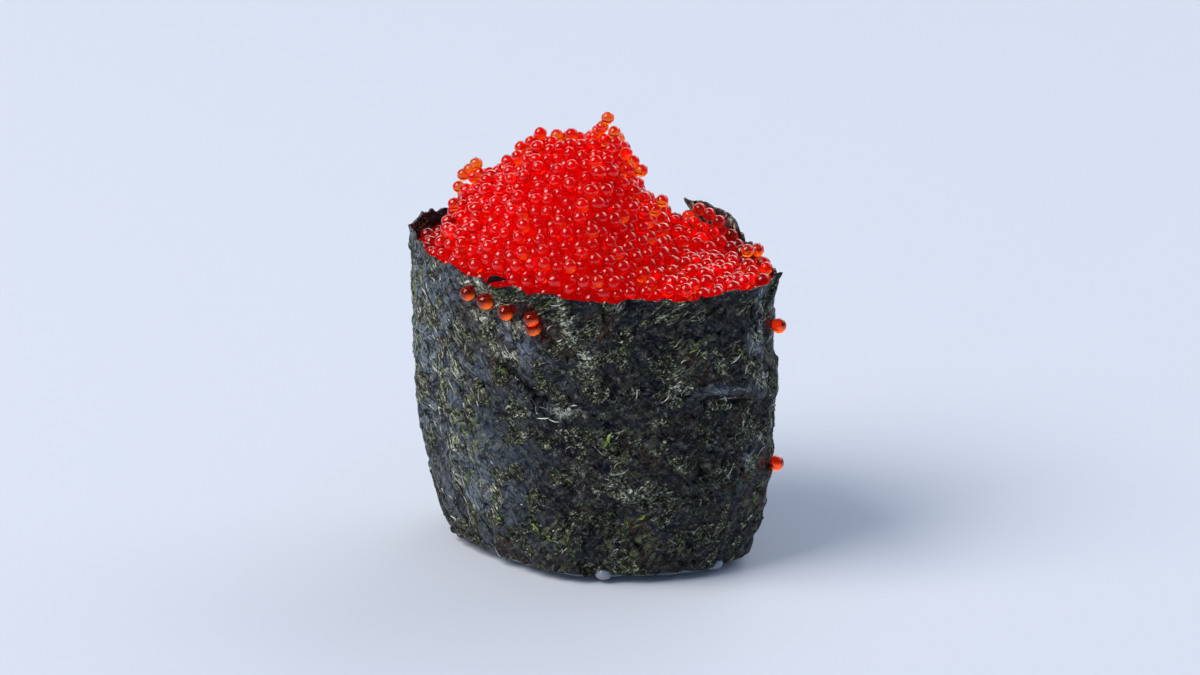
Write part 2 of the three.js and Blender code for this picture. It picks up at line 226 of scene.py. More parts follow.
# Small points of torn sheet that stand up from the rim: turn, height and half width in turns
RIM_POINTS = [
    (364, 0.35, 1.3),
    (170.5, 0.7, 1.8),
    (176, 0.5, 1.2),
    (151, 0.9, 2.2),
    (46, 0.9, 0.9),
    (405.5, 1.0, 0.9),
    (397, 0.8, 0.8),
    (213, 0.45, 1.0),
    (291, 0.35, 1.2),
    (324, 0.4, 1.0),
]
FOOT_NICKS = [(288, -0.5, 0.8), (254, -0.35, 0.9), (312, -0.3, 1.0), (100, -0.4, 1.0)]
# How closely each change keeps to its edge: the power of the share that it is multiplied by
AT_EDGE = {"rise": 6, "teeth": 40, "curl": 30, "nicks": 30}
FINE_STEPS = 4000
MEASURED_AT = 0.6  # the share of the height at which the strip's length is measured
SLIP_ROUNDS = 6  # guesses until the slip of a place is found

fine_turns = np.linspace(STRIP_START, STRIP_END, FINE_STEPS)
steps = np.linalg.norm(np.diff(wall_point(fine_turns, MEASURED_AT), axis=0), axis=1)
lengths = np.concatenate([[0], np.cumsum(steps)])
STRIP_LENGTH = float(lengths[-1])


def turn_at(length):
    return np.interp(length, lengths, fine_turns)


def length_at(turn):
    """Distance along the strip at a turn, from its start on."""
    return np.interp(turn, fine_turns, lengths)


def slip(turn, share):
    """How many degrees the sheet lags behind, so that only its last corner sticks out."""
    last = CORNER_POINT["turns"] * (1 - smooth(share, CORNER_POINT["share"], 1))
    return last * smooth(turn, STRIP_START, STRIP_END)


def sheet_turn(length, share):
    """The turn at which a place of the strip ends up."""
    return turn_at(length) - slip(turn_at(length), share)


def sheet_length(turn, share):
    """Distance along the strip of the place that ends up at a turn."""
    turn = np.asarray(turn) + 360.0 * (np.asarray(turn) < STRIP_START)
    unslipped = turn
    for _ in range(SLIP_ROUNDS):
        unslipped = turn + slip(unslipped, share)
    return length_at(unslipped)


def left_share(turn, kind):
    """1 in the middle of the left end, and less away from it."""
    return hump(turn_gap(turn, LEFT_END), LEFT_TURNS[kind])


print("strip length in mm:", round(STRIP_LENGTH, 1))

# %% Creases pressed into the sheet
# Those with a known place: start and end as turn and share of the height, and half width in mm
KNOWN_CREASES = [
    (254.5, 0.735, 262, 0.695, 0.3), (262, 0.695, 268.8, 0.65, 0.36),
    (268.8, 0.65, 268.2, 0.57, 0.26), (314, 0.665, 325, 0.648, 0.25),
    (325, 0.647, 348, 0.604, 0.42), (348, 0.604, 362, 0.585, 0.3),
    (348, 0.98, 350.5, 0.8, 0.2), (352, 0.8, 356, 0.63, 0.22),
    (357.5, 0.72, 361, 0.64, 0.22), (286, 0.5, 289, 0.46, 0.2),
    (292.5, 0.3, 293, 0.22, 0.25), (276, 0.36, 281, 0.3, 0.22),
]
CREASES = 230
CREASE_LENGTHS = (0.8, 3.2)
CREASE_HALF_WIDTHS = (0.1, 0.24)
CREASE_DEPTH = 0.3
CREASE_SEED = 4
CREASE_SLANTED = {"anywhere": 0.25, "left": 0.7}  # the share that slants as on the left end
CREASE_SPREAD = 14  # degrees
CREASE_WANDER = (0.35, 14, 1.4, 1)
CREASE_TAPER = {"lost": 0.8, "power": 4}


def crease_lines():
    """Start and end along and up the strip and half width of each crease, in mm."""
    draw = np.random.default_rng(CREASE_SEED)
    known = np.array(KNOWN_CREASES)
    starts, ends = (sheet_length(known[:, first], known[:, first + 1]) for first in (0, 2))
    heights = known[:, [1, 3]] * STRIP_WIDTH
    lines = np.column_stack([starts, heights[:, 0], ends, heights[:, 1], known[:, 4]])
    start = draw.uniform((0, 0), (STRIP_LENGTH, STRIP_WIDTH), (CREASES, 2))
    left = left_share(turn_at(start[:, 0]), "creases")
    slanting = draw.random(CREASES) < CREASE_SLANTED["anywhere"] + CREASE_SLANTED["left"] * left
    lay = np.where(slanting, LEFT_SLANT, draw.uniform(-90, 90, CREASES))
    heading = np.radians(lay + draw.normal(0, CREASE_SPREAD, CREASES))
    way = np.stack([np.cos(heading), np.sin(heading)], axis=-1)
    run = draw.uniform(*CREASE_LENGTHS, CREASES)[:, None] * way
    width = draw.uniform(*CREASE_HALF_WIDTHS, CREASES)
    return np.concatenate([lines, np.column_stack([start, start + run, width])])


def in_crease(length, height):
    """How deep in a crease a place lies, from 0 to 1, with creases that taper and wander."""
    bend = uneven(CREASE_WANDER, length, height)
    deepest = np.zeros(np.shape(length))
    for start_x, start_y, end_x, end_y, width in creases:
        along, up = end_x - start_x, end_y - start_y
        part = ((length - start_x) * along + (height - start_y) * up) / (along**2 + up**2)
        part = np.clip(part, 0, 1)
        gap = np.hypot(length + bend - start_x - part * along, height + bend - start_y - part * up)
        taper = 1 - CREASE_TAPER["lost"] * np.abs(2 * part - 1) ** CREASE_TAPER["power"]
        deepest = np.maximum(deepest, hump(gap, width) * taper)
    return deepest


creases = crease_lines()
print(len(creases), "creases")

# %% Crinkles and edges of the sheet
MOSAIC_SIZE = 2.6  # the blades of weed that the sheet is felted from
MOSAIC_TILT = 0.34
MOSAIC_BEND = 0.7
MOSAIC_LAYER = 9
MOSAIC_SHUFFLE = 7.3  # any uneven number does: neighbouring blades get unlike slopes
# Slants and stretches of the crinkles that run one way
SLANTS = {"wrinkles": (LEFT_SLANT, 3.0), "pleats": (78, 3.5), "mosaic": (-35, 1.5)}
# Layers of noise: height, layer, size of a hump, octaves
BEND = (1.4, 11, 9, 1)
PUCKER = (0.2, 2, 2.4, 3)
WRINKLE = (2.4, 3, 2.0, 2)
PLEAT = (0.18, 4, 1.7, 2)
CALM = (0.5, 5, 12, 1)
SKIN_GRAIN = (0.05, 6, 0.8, 1)
RIM_TEETH = (0.3, 7, 1.1, 2)
FOOT_TEETH = (0.14, 8, 1.3, 2)
WRINKLE_HEIGHT = 0.26
CALM_MEAN = 0.8
EVERYWHERE = {"wrinkles": 0.35, "pleats": 0.4}  # how much of them lies outside their own places
PLEATED = [(345, 24), (60, 40)]  # where the pleats are: turn and reach in turns


def mosaic(length, height, size, layer):
    """Height of a mosaic of flat blades, each with a slope of its own."""
    places = zip(np.ravel(length) / size, np.ravel(height) / size)
    tilts = []
    for x, y in places:
        nearest = noise.voronoi((x, y, layer))[1][0]
        slope = noise.cell_vector(nearest * MOSAIC_SHUFFLE)
        tilts.append((x - nearest.x) * (slope.x - 0.5) + (y - nearest.y) * (slope.y - 0.5))
    return size * np.array(tilts).reshape(np.shape(length))


def crinkle(length, height):
    """Fine ups and downs of the sheet in mm, outwards."""
    turn = turn_at(length)
    left = left_share(turn, "crinkles")
    right = sum(hump(turn_gap(turn, middle), turns) for middle, turns in PLEATED)
    bend = uneven(BEND, length, height)
    pucker = uneven(PUCKER, length + bend, height)
    along, across = slanted(length + bend, height - bend, *SLANTS["wrinkles"])
    wrinkles = WRINKLE_HEIGHT * (1 - np.abs(uneven(WRINKLE, along, across)))
    along, across = slanted(length, height + bend, *SLANTS["pleats"])
    pleats = uneven(PLEAT, along, across)
    along, across = slanted(length + MOSAIC_BEND * bend, height, *SLANTS["mosaic"])
    blades = MOSAIC_TILT * mosaic(along, across, MOSAIC_SIZE, MOSAIC_LAYER)
    calm = CALM_MEAN + uneven(CALM, length, height)
    fine = uneven(SKIN_GRAIN, length, height) - CREASE_DEPTH * in_crease(length, height)
    main = calm * (pucker + wrinkles * (EVERYWHERE["wrinkles"] + left))
    return main + pleats * (EVERYWHERE["pleats"] + right) + blades + fine


def rim_rise(length):
    """How far the ragged rim stands over the wall's own rim."""
    turn = turn_at(length)
    rise = waves(RIM_WAVES, turn, 1)
    rise = rise - COVERED_RIM["dip"] * (1 - smooth(turn, COVERED_RIM["start"], COVERED_RIM["end"]))
    rise = rise - SHOULDER["dip"] * hump(turn_gap(turn, SHOULDER["turn"]), SHOULDER["turns"])
    rise = rise + CORNER["rise"] * smooth(turn, CORNER["start"], CORNER["top"])
    rise = rise - CORNER["drop"] * smooth(turn, CORNER["top"], STRIP_END)
    return rise


def torn_edge(length, roughness, points):
    """The torn fibres of an edge: fine noise, and small points or nicks at their turns."""
    turn = turn_at(length)
    teeth = uneven(roughness, length, 0 * length)
    for point_turn, height, half_width in points:
        teeth = teeth + height * np.maximum(0, 1 - np.abs(turn - point_turn) / half_width)
    return teeth


def strip_point(length, share):
    """A point of the sheet's outer face."""
    turn = sheet_turn(length, share)
    covered = 1 - smooth(turn, STRIP_END - 360, STRIP_END - 360 + SINK_TURNS)
    leaning = smooth(turn, CORNER_LEAN["start"], STRIP_END) * smooth(share, CORNER_LEAN["share"], 1)
    outwards = crinkle(length, STRIP_WIDTH * share)
    outwards = outwards - SINK * covered - CORNER_LEAN["depth"] * leaning
    curl = np.maximum(0, 1 - np.abs(turn_at(length) - EAR["turn"]) / EAR["turns"])
    outwards = outwards + EAR["outwards"] * curl * share ** AT_EDGE["curl"]
    rise = rim_rise(length) * share ** AT_EDGE["rise"]
    rise = rise + torn_edge(length, RIM_TEETH, RIM_POINTS) * share ** AT_EDGE["teeth"]
    rise = rise + torn_edge(length, FOOT_TEETH, FOOT_NICKS) * (1 - share) ** AT_EDGE["nicks"]
    return wall_point(turn, share, outwards, rise)


print("crinkle at the front:", np.round(crinkle(length_at(270), 20.0), 3), "mm")

# %% Make the strip from a flat grid
def deselect_all():
    bpy.ops.object.select_all(action="DESELECT")


def points_of(piece):
    points = np.empty(3 * len(piece.data.vertices))
    piece.data.vertices.foreach_get("co", points)
    return points.reshape(-1, 3)


def set_points(piece, points):
    piece.data.vertices.foreach_set("co", np.asarray(points, float).ravel())
    piece.data.update()


def select_only(piece):
    deselect_all()
    piece.select_set(True)
    bpy.context.view_layer.objects.active = piece


def apply_modifiers(piece):
    select_only(piece)
    for modifier in list(piece.modifiers):
        bpy.ops.object.modifier_apply(modifier=modifier.name)


def thicken(piece, thickness, offset, edge_material=0):
    """Gives a sheet its thickness in mm. An offset of -1 keeps the outer face in place."""
    solidify = piece.modifiers.new("thickness", "SOLIDIFY")
    solidify.thickness = thickness * MM
    solidify.offset = offset
    solidify.use_rim = True
    solidify.material_offset_rim = edge_material
    apply_modifiers(piece)


def new_piece(name):
    piece = bpy.context.object
    piece.name = name
    piece.data.name = name
    return piece


deselect_all()
columns = round(STRIP_LENGTH / CELL)
rows = round(STRIP_WIDTH / CELL)
bpy.ops.mesh.primitive_grid_add(x_subdivisions=columns, y_subdivisions=rows, size=1)
strip = new_piece("seaweed_strip")
flat = points_of(strip) + 0.5  # now 0 to 1 along and up the strip
strip_lengths = flat[:, 0] * STRIP_LENGTH
strip_shares = flat[:, 1]
sheet = strip_point(strip_lengths, strip_shares)
set_points(strip, MM * sheet)
sheet = sheet.reshape(rows + 1, columns + 1, 3)
sheet_normals = np.cross(np.gradient(sheet, axis=1), np.gradient(sheet, axis=0))
sheet_normals /= np.linalg.norm(sheet_normals, axis=-1, keepdims=True)


def on_sheet(length, height, lift):
    """A point so far off the sheet's outer face, read from the grid's own points."""
    column = np.clip(length / STRIP_LENGTH * columns, 0, columns - 1e-3)
    row = np.clip(height / STRIP_WIDTH * rows, 0, rows - 1e-3)
    i, j = column.astype(int), row.astype(int)
    s, t = (column - i)[..., None], (row - j)[..., None]

    def read(grid):
        lower = grid[j, i] * (1 - s) + grid[j, i + 1] * s
        upper = grid[j + 1, i] * (1 - s) + grid[j + 1, i + 1] * s
        return lower * (1 - t) + upper * t

    return read(sheet) + read(sheet_normals) * np.asarray(lift)[..., None]


print("sheet:", columns, "by", rows, "faces")

# %% Lay the strip's own map and mark its patches
MAP_SIDE = 100  # millimetres of strip to one unit of the map
FELT = (0.9, 15, 3.2, 2)  # a layer of noise that tells how thickly small fibres lie
FELT_MEAN = 0.2
# Pale fibrous patches, some of them painted highlights on crinkles that face the light: turn,
# share, reach in turns, in shares, strength
PALE_PATCHES = [
    (247, 0.975, 6, 0.03, 1.0),
    (254, 0.925, 5, 0.025, 0.8),
    (249, 0.87, 6, 0.03, 0.9),
    (262.5, 0.87, 6, 0.022, 0.85),
    (256.5, 0.765, 6, 0.028, 0.8),
    (277.5, 0.6, 5, 0.026, 1.0),
    (267, 0.585, 4, 0.02, 0.5),
    (238, 0.62, 8, 0.08, 0.55),
    (232, 0.42, 12, 0.12, 0.35),
    (246, 0.25, 9, 0.07, 0.45),
    (279, 0.9, 4, 0.06, 0.6),
    (285, 0.8, 4, 0.05, 0.6),
    (281, 0.4, 5, 0.03, 0.5),
    (300, 0.33, 9, 0.05, 0.3),
    (330, 0.77, 3.5, 0.06, 0.35),
    (319.5, 0.78, 3.5, 0.06, 0.3),
    (314, 0.68, 3.5, 0.035, 0.7),
    (350.5, 0.94, 3, 0.04, 0.7),
    (346, 0.82, 3, 0.07, 0.6),
    (350, 0.67, 5, 0.035, 0.9),
    (345, 0.39, 2.5, 0.06, 0.6),
    (62, 0.97, 12, 0.04, 0.4),
    (350, 0.42, 6, 0.08, 0.35),
    (120, 0.5, 12, 0.08, 0.6),
    (60, 0.7, 9, 0.06, 0.6),
    (150, 0.75, 9, 0.06, 0.6),
    (20, 0.4, 8, 0.08, 0.5),
    (95, 0.25, 10, 0.07, 0.5),
]
# Where blades stayed green: turn, share, reach in turns, in shares, strength
GREEN_PATCHES = [
    (273, 0.12, 9, 0.1, 1.0),
    (300, 0.12, 10, 0.1, 0.8),
    (322, 0.12, 9, 0.08, 0.8),
    (240, 0.4, 10, 0.2, 0.8),
    (206, 0.75, 7, 0.25, 1.0),
    (322, 0.8, 10, 0.06, 0.7),
    (295, 0.5, 9, 0.1, 0.7),
    (352, 0.3, 7, 0.15, 0.8),
    (75, 0.5, 16, 0.2, 0.8),
    (140, 0.5, 16, 0.25, 0.8),
]
# Where the sheet is grey instead of black: places that dried, and painted light on the lit left
# end, on the sheen of the ridge at the right and on the band over the fold: turn, share, reach, reach,
# strength
DRY_AND_LIT_PATCHES = [
    (215, 0.7, 38, 0.45, 1.0),
    (238, 0.3, 24, 0.28, 0.9),
    (262, 0.8, 10, 0.1, 0.75),
    (350, 0.93, 4, 0.09, 1.0),
    (346.5, 0.8, 3, 0.15, 1.0),
    (333, 0.66, 12, 0.016, 0.9),
    (350, 0.67, 6, 0.06, 0.9),
    (345, 0.4, 3, 0.1, 0.7),
    (58, 0.97, 18, 0.07, 1.0),
    (120, 0.5, 34, 0.35, 0.7),
    (40, 0.6, 20, 0.3, 0.5),
]


def add_number(piece, name, values):
    mark = piece.data.attributes.new(name, "FLOAT", "POINT")
    mark.data.foreach_set("value", np.asarray(values, np.float32))


def patches(kinds, length, share):
    turn = sheet_turn(length, share)
    total = np.zeros(np.shape(turn))
    for patch_turn, patch_share, turns, shares, strength in kinds:
        here = hump(turn_gap(turn, patch_turn), turns) * hump(share - patch_share, shares)
        total = np.maximum(total, strength * here)
    return total


def felt_at(length, height):
    """How thickly small fibres lie here: none on the smooth dark blades, many between them."""
    return FELT_MEAN + uneven(FELT, length, height)


strip_map = strip.data.uv_layers[0]
strip_map.name = "strip_map"
corners = np.empty(2 * len(strip.data.loops))
strip_map.data.foreach_get("uv", corners)
corners = corners.reshape(-1, 2) * [STRIP_LENGTH / MAP_SIDE, STRIP_WIDTH / MAP_SIDE]
strip_map.data.foreach_set("uv", corners.ravel())
add_number(strip, "pale", patches(PALE_PATCHES, strip_lengths, strip_shares))
add_number(strip, "dry_and_lit", patches(DRY_AND_LIT_PATCHES, strip_lengths, strip_shares))
add_number(strip, "green", patches(GREEN_PATCHES, strip_lengths, strip_shares))
# How deep a place lies in a crease: it drives the bump, and painted shade in the finish
add_number(strip, "crevice", in_crease(strip_lengths, STRIP_WIDTH * strip_shares))
add_number(strip, "felt", felt_at(strip_lengths, STRIP_WIDTH * strip_shares))
print("map:", np.round(corners.max(axis=0), 2))

# %% Eggs that are stuck to the strip, their wet marks, and painted red reflections beside them
EGG = 0.83  # mean radius
# Turn, share of height, radius, and how far the middle stands off the sheet in radii
STRAY_EGGS = [
    (245.4, 0.941, 0.9, 0.6),
    (252.3, 0.945, 0.96, 0.6),
    (260.5, 0.921, 0.9, 0.6),
    (268.9, 0.917, 0.93, 0.6),
    (269.4, 0.889, 0.94, 0.75),
    (1, 0.836, 0.9, 0.85),
    (4, 0.333, 0.9, 0.55),
]
# Red smears, the eggs' wet marks, and beside the eggs at the right end a painted red
# reflection of the egg on the sheet: turn, share, reach in turns and in shares, strength
SMEARS_AND_REFLECTIONS = [
    (262.8, 0.935, 1.5, 0.02, 1.0),
    (357, 0.85, 2.2, 0.02, 0.9),
    (354.5, 0.365, 2.6, 0.02, 0.8),
    (278, 0.86, 2.0, 0.02, 0.35),
    (273, 0.83, 3.0, 0.018, 0.25),
    (254, 0.95, 1.6, 0.02, 0.6),
]
add_number(strip, "smear_and_reflection", patches(SMEARS_AND_REFLECTIONS, strip_lengths, strip_shares))
print(len(STRAY_EGGS), "stray eggs")

# %% Give the sheet its thickness
thicken(strip, SHEET, -1, edge_material=1)
bpy.ops.object.shade_smooth_by_angle(angle=math.radians(50))
print("strip faces:", len(strip.data.polygons))

# %% [markdown]
# ## Fibres and blades in the sheet
# Close up, the sheet is a mat of thin slivers: most are as dark as the rest, some are pale,
# partly as painted glints where they would catch the light, and a few blades stayed green. A
# texture alone would leave them flat and smeared, so those that show are real slivers, at most
# four tenths of a millimetre wide, pressed half into it.
# One sliver is a short roof of a few faces. Arrays place thousands of them, bent over the
# crinkles by reading the sheet's own grid, and the whole mat is one joined mesh.

# %% Scatter the fibres
FIBRES = 13500
FIBRE_JOINTS = 4
FIBRE_HALF_WIDTHS = (0.03, 0.09)
FIBRE_LENGTHS = (0.4, 2.1)
FIBRE_STAND = 0.06  # how far even the thinnest fibre stands out
FIBRE_ROOF = 0.35  # how much higher a fibre's ridge stands for each mm of its half width
FIBRE_SUNK = -0.02  # its sides reach into the sheet
FIBRE_SEED = 12
FIBRE_MARGIN = 0.3
EDGE_MARGIN = 0.1  # no point of a fibre comes nearer to the strip's edge
FIBRE_LAYS = [-75, 40, 60, 5, 85]  # headings in degrees, one of them drawn for each fibre
FIBRE_SLANTED = {"anywhere": 0.2, "left": 0.65}  # the share that slants as on the left end
FIBRE_SPREAD = 18  # degrees
FIBRE_SHORTEST = 0.3  # of the length that was drawn
FIBRE_BEND = 0.5
FIBRE_TAPER = {"lost": 0.85, "power": 3}
# A tone is a random number to a power, which is lower and so lighter on pale places and on grey
# ones: places that dried, and the places of painted light
TONE_POWER = {"damp": 2.9, "dry_and_lit": 1.8, "pale": 1.5}
PALEST = 0.79
GREEN_TONES = (0.8, 1)
GREEN_CHANCE = 0.05
# The chance that a fibre lies on a felted place, or on a grey one, whether dried or painted light
FELTED = {"steepness": 1.25, "least": 0.1}
DRY_AND_LIT_CHANCE = 0.6
# The folded edge at the right, where the fibres run upwards
RIDGE = {"turn": 347, "turns": 6, "from": 0.62, "share": 0.85, "lay": 82}
# Blades that stayed green and threads that stand out: turn, share of the height, heading in
# degrees, length, half width and tone, where 0.7 is a pale thread and 0.8 to 1 is green. The pale
# threads on the ridge at the right are painted streaks of its sheen.
BLADES = [
    (291, 0.525, 80, 1.7, 0.2, 0.98), (290.2, 0.5, 60, 1.1, 0.14, 0.94),
    (274.5, 0.39, -40, 1.1, 0.16, 0.82), (267, 0.17, -45, 1.5, 0.17, 0.99),
    (270.5, 0.135, -42, 1.6, 0.13, 0.92), (273, 0.1, -45, 1.4, 0.13, 0.9),
    (283, 0.165, -20, 0.9, 0.16, 0.84), (246, 0.49, 85, 1.6, 0.16, 0.88),
    (238, 0.435, -50, 0.9, 0.12, 0.96), (251.5, 0.16, 20, 0.7, 0.2, 0.97),
    (242.5, 0.295, -60, 0.9, 0.14, 0.86), (278.5, 0.075, -35, 1.2, 0.15, 0.86),
    (302.5, 0.23, 50, 1.1, 0.15, 0.96), (301, 0.195, 25, 1.2, 0.12, 0.9),
    (297, 0.035, -30, 0.9, 0.14, 0.97), (318, 0.13, 55, 1.0, 0.05, 0.97),
    (325.5, 0.13, 30, 1.1, 0.16, 0.9), (324, 0.435, -60, 1.1, 0.08, 0.88),
    (352, 0.235, 70, 1.2, 0.15, 0.94), (292.5, 0.245, -40, 1.1, 0.1, 0.88),
    (204, 0.83, -75, 2.2, 0.14, 0.95), (257.5, 0.705, -25, 1.3, 0.12, 0.93),
    (273.5, 0.97, 75, 1.0, 0.17, 0.86), (249.5, 0.785, -50, 1.3, 0.14, 0.85),
    (2.5, 0.615, -70, 1.2, 0.13, 0.96), (297, 0.96, 70, 0.8, 0.16, 0.83),
    (296, 0.84, 35, 0.9, 0.12, 0.93), (320, 0.82, 20, 0.9, 0.14, 0.95),
    (324.5, 0.805, 40, 0.9, 0.1, 0.93), (340, 0.785, 60, 1.2, 0.12, 0.9),
    (293.5, 0.425, 50, 1.5, 0.05, 0.7), (295.5, 0.395, 28, 2.0, 0.05, 0.72),
    (291.5, 0.37, -40, 1.5, 0.06, 0.7), (296, 0.32, -42, 1.8, 0.06, 0.69),
    (278.5, 0.48, 30, 1.9, 0.04, 0.72), (317, 0.675, 62, 1.2, 0.05, 0.74),
    (348, 0.885, -80, 2.2, 0.05, 0.7), (344.5, 0.79, 75, 2.0, 0.05, 0.68),
    (351, 0.75, 82, 2.6, 0.06, 0.66), (268.5, 0.6, 85, 1.0, 0.06, 0.7),
    (271, 0.57, 10, 1.6, 0.1, 0.75), (274, 0.565, -12, 1.5, 0.09, 0.74),
    (277.5, 0.6, 38, 1.3, 0.09, 0.78), (259, 0.76, -15, 1.6, 0.08, 0.72),
    (247, 0.88, -30, 1.3, 0.1, 0.74), (60, 0.5, 70, 1.8, 0.16, 0.95),
    (110, 0.35, -50, 1.6, 0.15, 0.9), (135, 0.7, 60, 1.5, 0.16, 0.97),
    (80, 0.8, -30, 1.7, 0.13, 0.93), (160, 0.45, 75, 1.6, 0.16, 0.96),
    (28, 0.3, -60, 1.4, 0.15, 0.92), (95, 0.6, 20, 2.0, 0.06, 0.7),
    (145, 0.3, -40, 1.9, 0.06, 0.72), (48, 0.75, 50, 1.7, 0.05, 0.7),
]


def fibre_tones(draw, start, share, pale, dry_and_lit):
    """Tones from 0, as dark as the sheet, to the palest thread, and over that the green blades."""
    power = TONE_POWER["damp"] - TONE_POWER["dry_and_lit"] * dry_and_lit - TONE_POWER["pale"] * pale * (dry_and_lit < 0.5)
    tone = draw.random(FIBRES) ** power * PALEST
    green = draw.random(FIBRES) < GREEN_CHANCE * patches(GREEN_PATCHES, start, share)
    return np.where(green, draw.uniform(*GREEN_TONES, FIBRES), tone)


def fibre_chance(start, height, pale, dry_and_lit):
    """The chance that a fibre lies here: high on pale places, none on the smooth dark blades."""
    felted = FELTED["steepness"] * (felt_at(start, height) - FELTED["least"])
    return np.maximum(np.maximum(felted, pale), DRY_AND_LIT_CHANCE * dry_and_lit)


def scatter_fibres():
    """Places, headings, half widths and tones of every fibre's joints on the strip."""
    draw = np.random.default_rng(FIBRE_SEED)
    start = draw.uniform(FIBRE_MARGIN, STRIP_LENGTH - FIBRE_MARGIN, FIBRES)
    height = draw.uniform(FIBRE_MARGIN, STRIP_WIDTH - FIBRE_MARGIN, FIBRES)
    share = height / STRIP_WIDTH
    left = left_share(turn_at(start), "creases")
    slanting = draw.random(FIBRES) < FIBRE_SLANTED["anywhere"] + FIBRE_SLANTED["left"] * left
    lay = np.where(slanting, LEFT_SLANT, draw.choice(FIBRE_LAYS, FIBRES))
    ridge = hump(turn_gap(sheet_turn(start, share), RIDGE["turn"]), RIDGE["turns"])
    ridge = ridge * (share > RIDGE["from"])
    lay = np.where(draw.random(FIBRES) < RIDGE["share"] * ridge, RIDGE["lay"], lay)
    heading = np.radians(lay + draw.normal(0, FIBRE_SPREAD, FIBRES))
    size = draw.uniform(*FIBRE_LENGTHS, FIBRES) * draw.uniform(FIBRE_SHORTEST, 1, FIBRES)
    width = draw.uniform(*FIBRE_HALF_WIDTHS, FIBRES)
    pale = patches(PALE_PATCHES, start, share)
    dry_and_lit = patches(DRY_AND_LIT_PATCHES, start, share)
    tone = fibre_tones(draw, start, share, pale, dry_and_lit)
    kept = draw.random(FIBRES) < fibre_chance(start, height, pale, dry_and_lit)
    drawn = np.stack([start, height, heading, size, width, tone])[:, kept]
    blades = np.array(BLADES)
    placed = sheet_length(blades[:, 0], blades[:, 1])
    placed = np.stack([placed, blades[:, 1] * STRIP_WIDTH, np.radians(blades[:, 2]), *blades[:, 3:].T])
    start, height, heading, size, width, tone = np.concatenate([drawn, placed], axis=1)
    bend = draw.normal(0, FIBRE_BEND, len(size))
    middle = np.linspace(-0.5, 0.5, FIBRE_JOINTS)
    way = heading[:, None] + bend[:, None] * middle
    along = start[:, None] + np.cos(way) * size[:, None] * middle
    up = height[:, None] + np.sin(way) * size[:, None] * middle
    taper = 1 - FIBRE_TAPER["lost"] * np.abs(2 * middle) ** FIBRE_TAPER["power"]
    return along, up, way, width[:, None] * taper, tone


fibre_along, fibre_up, fibre_way, fibre_width, fibre_tone = scatter_fibres()
print(len(fibre_tone), "fibres, up to", round(float(2 * fibre_width.max()), 2), "mm wide")

# %% Build the fibres as one mesh
def add_mesh(name, points, faces):
    mesh = bpy.data.meshes.new(name)
    mesh.from_pydata(points.tolist(), [], faces if isinstance(faces, list) else faces.tolist())
    piece = bpy.data.objects.new(name, mesh)
    bpy.context.scene.collection.objects.link(piece)
    return piece


def fibre_row(side, lift):
    """One row of points along every fibre, to a side of its middle and so far off the sheet."""
    along = fibre_along - np.sin(fibre_way) * fibre_width * side
    up = fibre_up + np.cos(fibre_way) * fibre_width * side
    along = np.clip(along, EDGE_MARGIN, STRIP_LENGTH - EDGE_MARGIN)
    up = np.clip(up, EDGE_MARGIN, STRIP_WIDTH - EDGE_MARGIN)
    return on_sheet(along, up, np.broadcast_to(lift, along.shape))


def fibre_faces(joints):
    """Faces of one fibre, whose points are a left row, a ridge row and a right row."""
    faces = []
    for step in range(joints - 1):
        for row in range(3):
            here, beside = row * joints + step, (row + 1) % 3 * joints + step
            faces.append([here, here + 1, beside + 1, beside])
    first = [row * joints for row in range(3)]
    faces.append(first)
    faces.append([end + joints - 1 for end in reversed(first)])
    return faces


ridge = FIBRE_STAND + FIBRE_ROOF * fibre_width
fibre_rows = [fibre_row(-1, FIBRE_SUNK), fibre_row(0, ridge), fibre_row(1, FIBRE_SUNK)]
fibre_points = np.stack(fibre_rows, axis=1).reshape(-1, 3) * MM
per_fibre = 3 * FIBRE_JOINTS
one_fibre = fibre_faces(FIBRE_JOINTS)
all_faces = []
for fibre in range(len(fibre_tone)):
    all_faces += [[corner + per_fibre * fibre for corner in face] for face in one_fibre]
fibres = add_mesh("seaweed_fibres", fibre_points, all_faces)
add_number(fibres, "tone", np.repeat(fibre_tone, per_fibre))
print("fibre faces:", len(fibres.data.polygons))

# %% [markdown]
# ## A loose flake over the eggs
# Where the rim is torn, a small flap of seaweed has curled over the first eggs. It starts as a
# flat grid, is given the outline of a leaf and is bent along the wall, and Solidify makes it a
# real sheet.

# %% Curl the flake
FLAKE = {"start": 251.5, "turns": 7.6, "half_width": 0.36, "rise": 0.85, "climb": 0.5,
         "droop": 0.9, "outwards": 0.4, "share": 0.985, "inwards": 0.3, "thickness": 0.12}
FLAKE_FACES = (14, 6)
LEAF_POWER = 0.6  # below 1 it makes the leaf blunt, and broadest near its left end
FLAKE_CUP = 1.1
FLAKE_RIPPLE = (0.05, 9)

deselect_all()
bpy.ops.mesh.primitive_grid_add(x_subdivisions=FLAKE_FACES[0], y_subdivisions=FLAKE_FACES[1], size=2)
flake = new_piece("seaweed_flake")
flake_flat = points_of(flake)
along = (flake_flat[:, 0] + 1) / 2
leaf = np.sin(math.pi * np.clip(along, 0.02, 0.98) ** LEAF_POWER) ** LEAF_POWER
across = flake_flat[:, 1] * FLAKE["half_width"] * leaf
flake_turns = FLAKE["start"] + FLAKE["turns"] * along
lift = FLAKE["rise"] + FLAKE["climb"] * along + across - FLAKE["droop"] * (1 - along) ** 6
ripple = FLAKE_RIPPLE[0] * np.sin(FLAKE_RIPPLE[1] * along)
bulge = FLAKE["outwards"] * leaf - FLAKE_CUP * across**2 + ripple
flake_points = wall_point(flake_turns, FLAKE["share"], bulge - FLAKE["inwards"], lift)
set_points(flake, MM * flake_points)
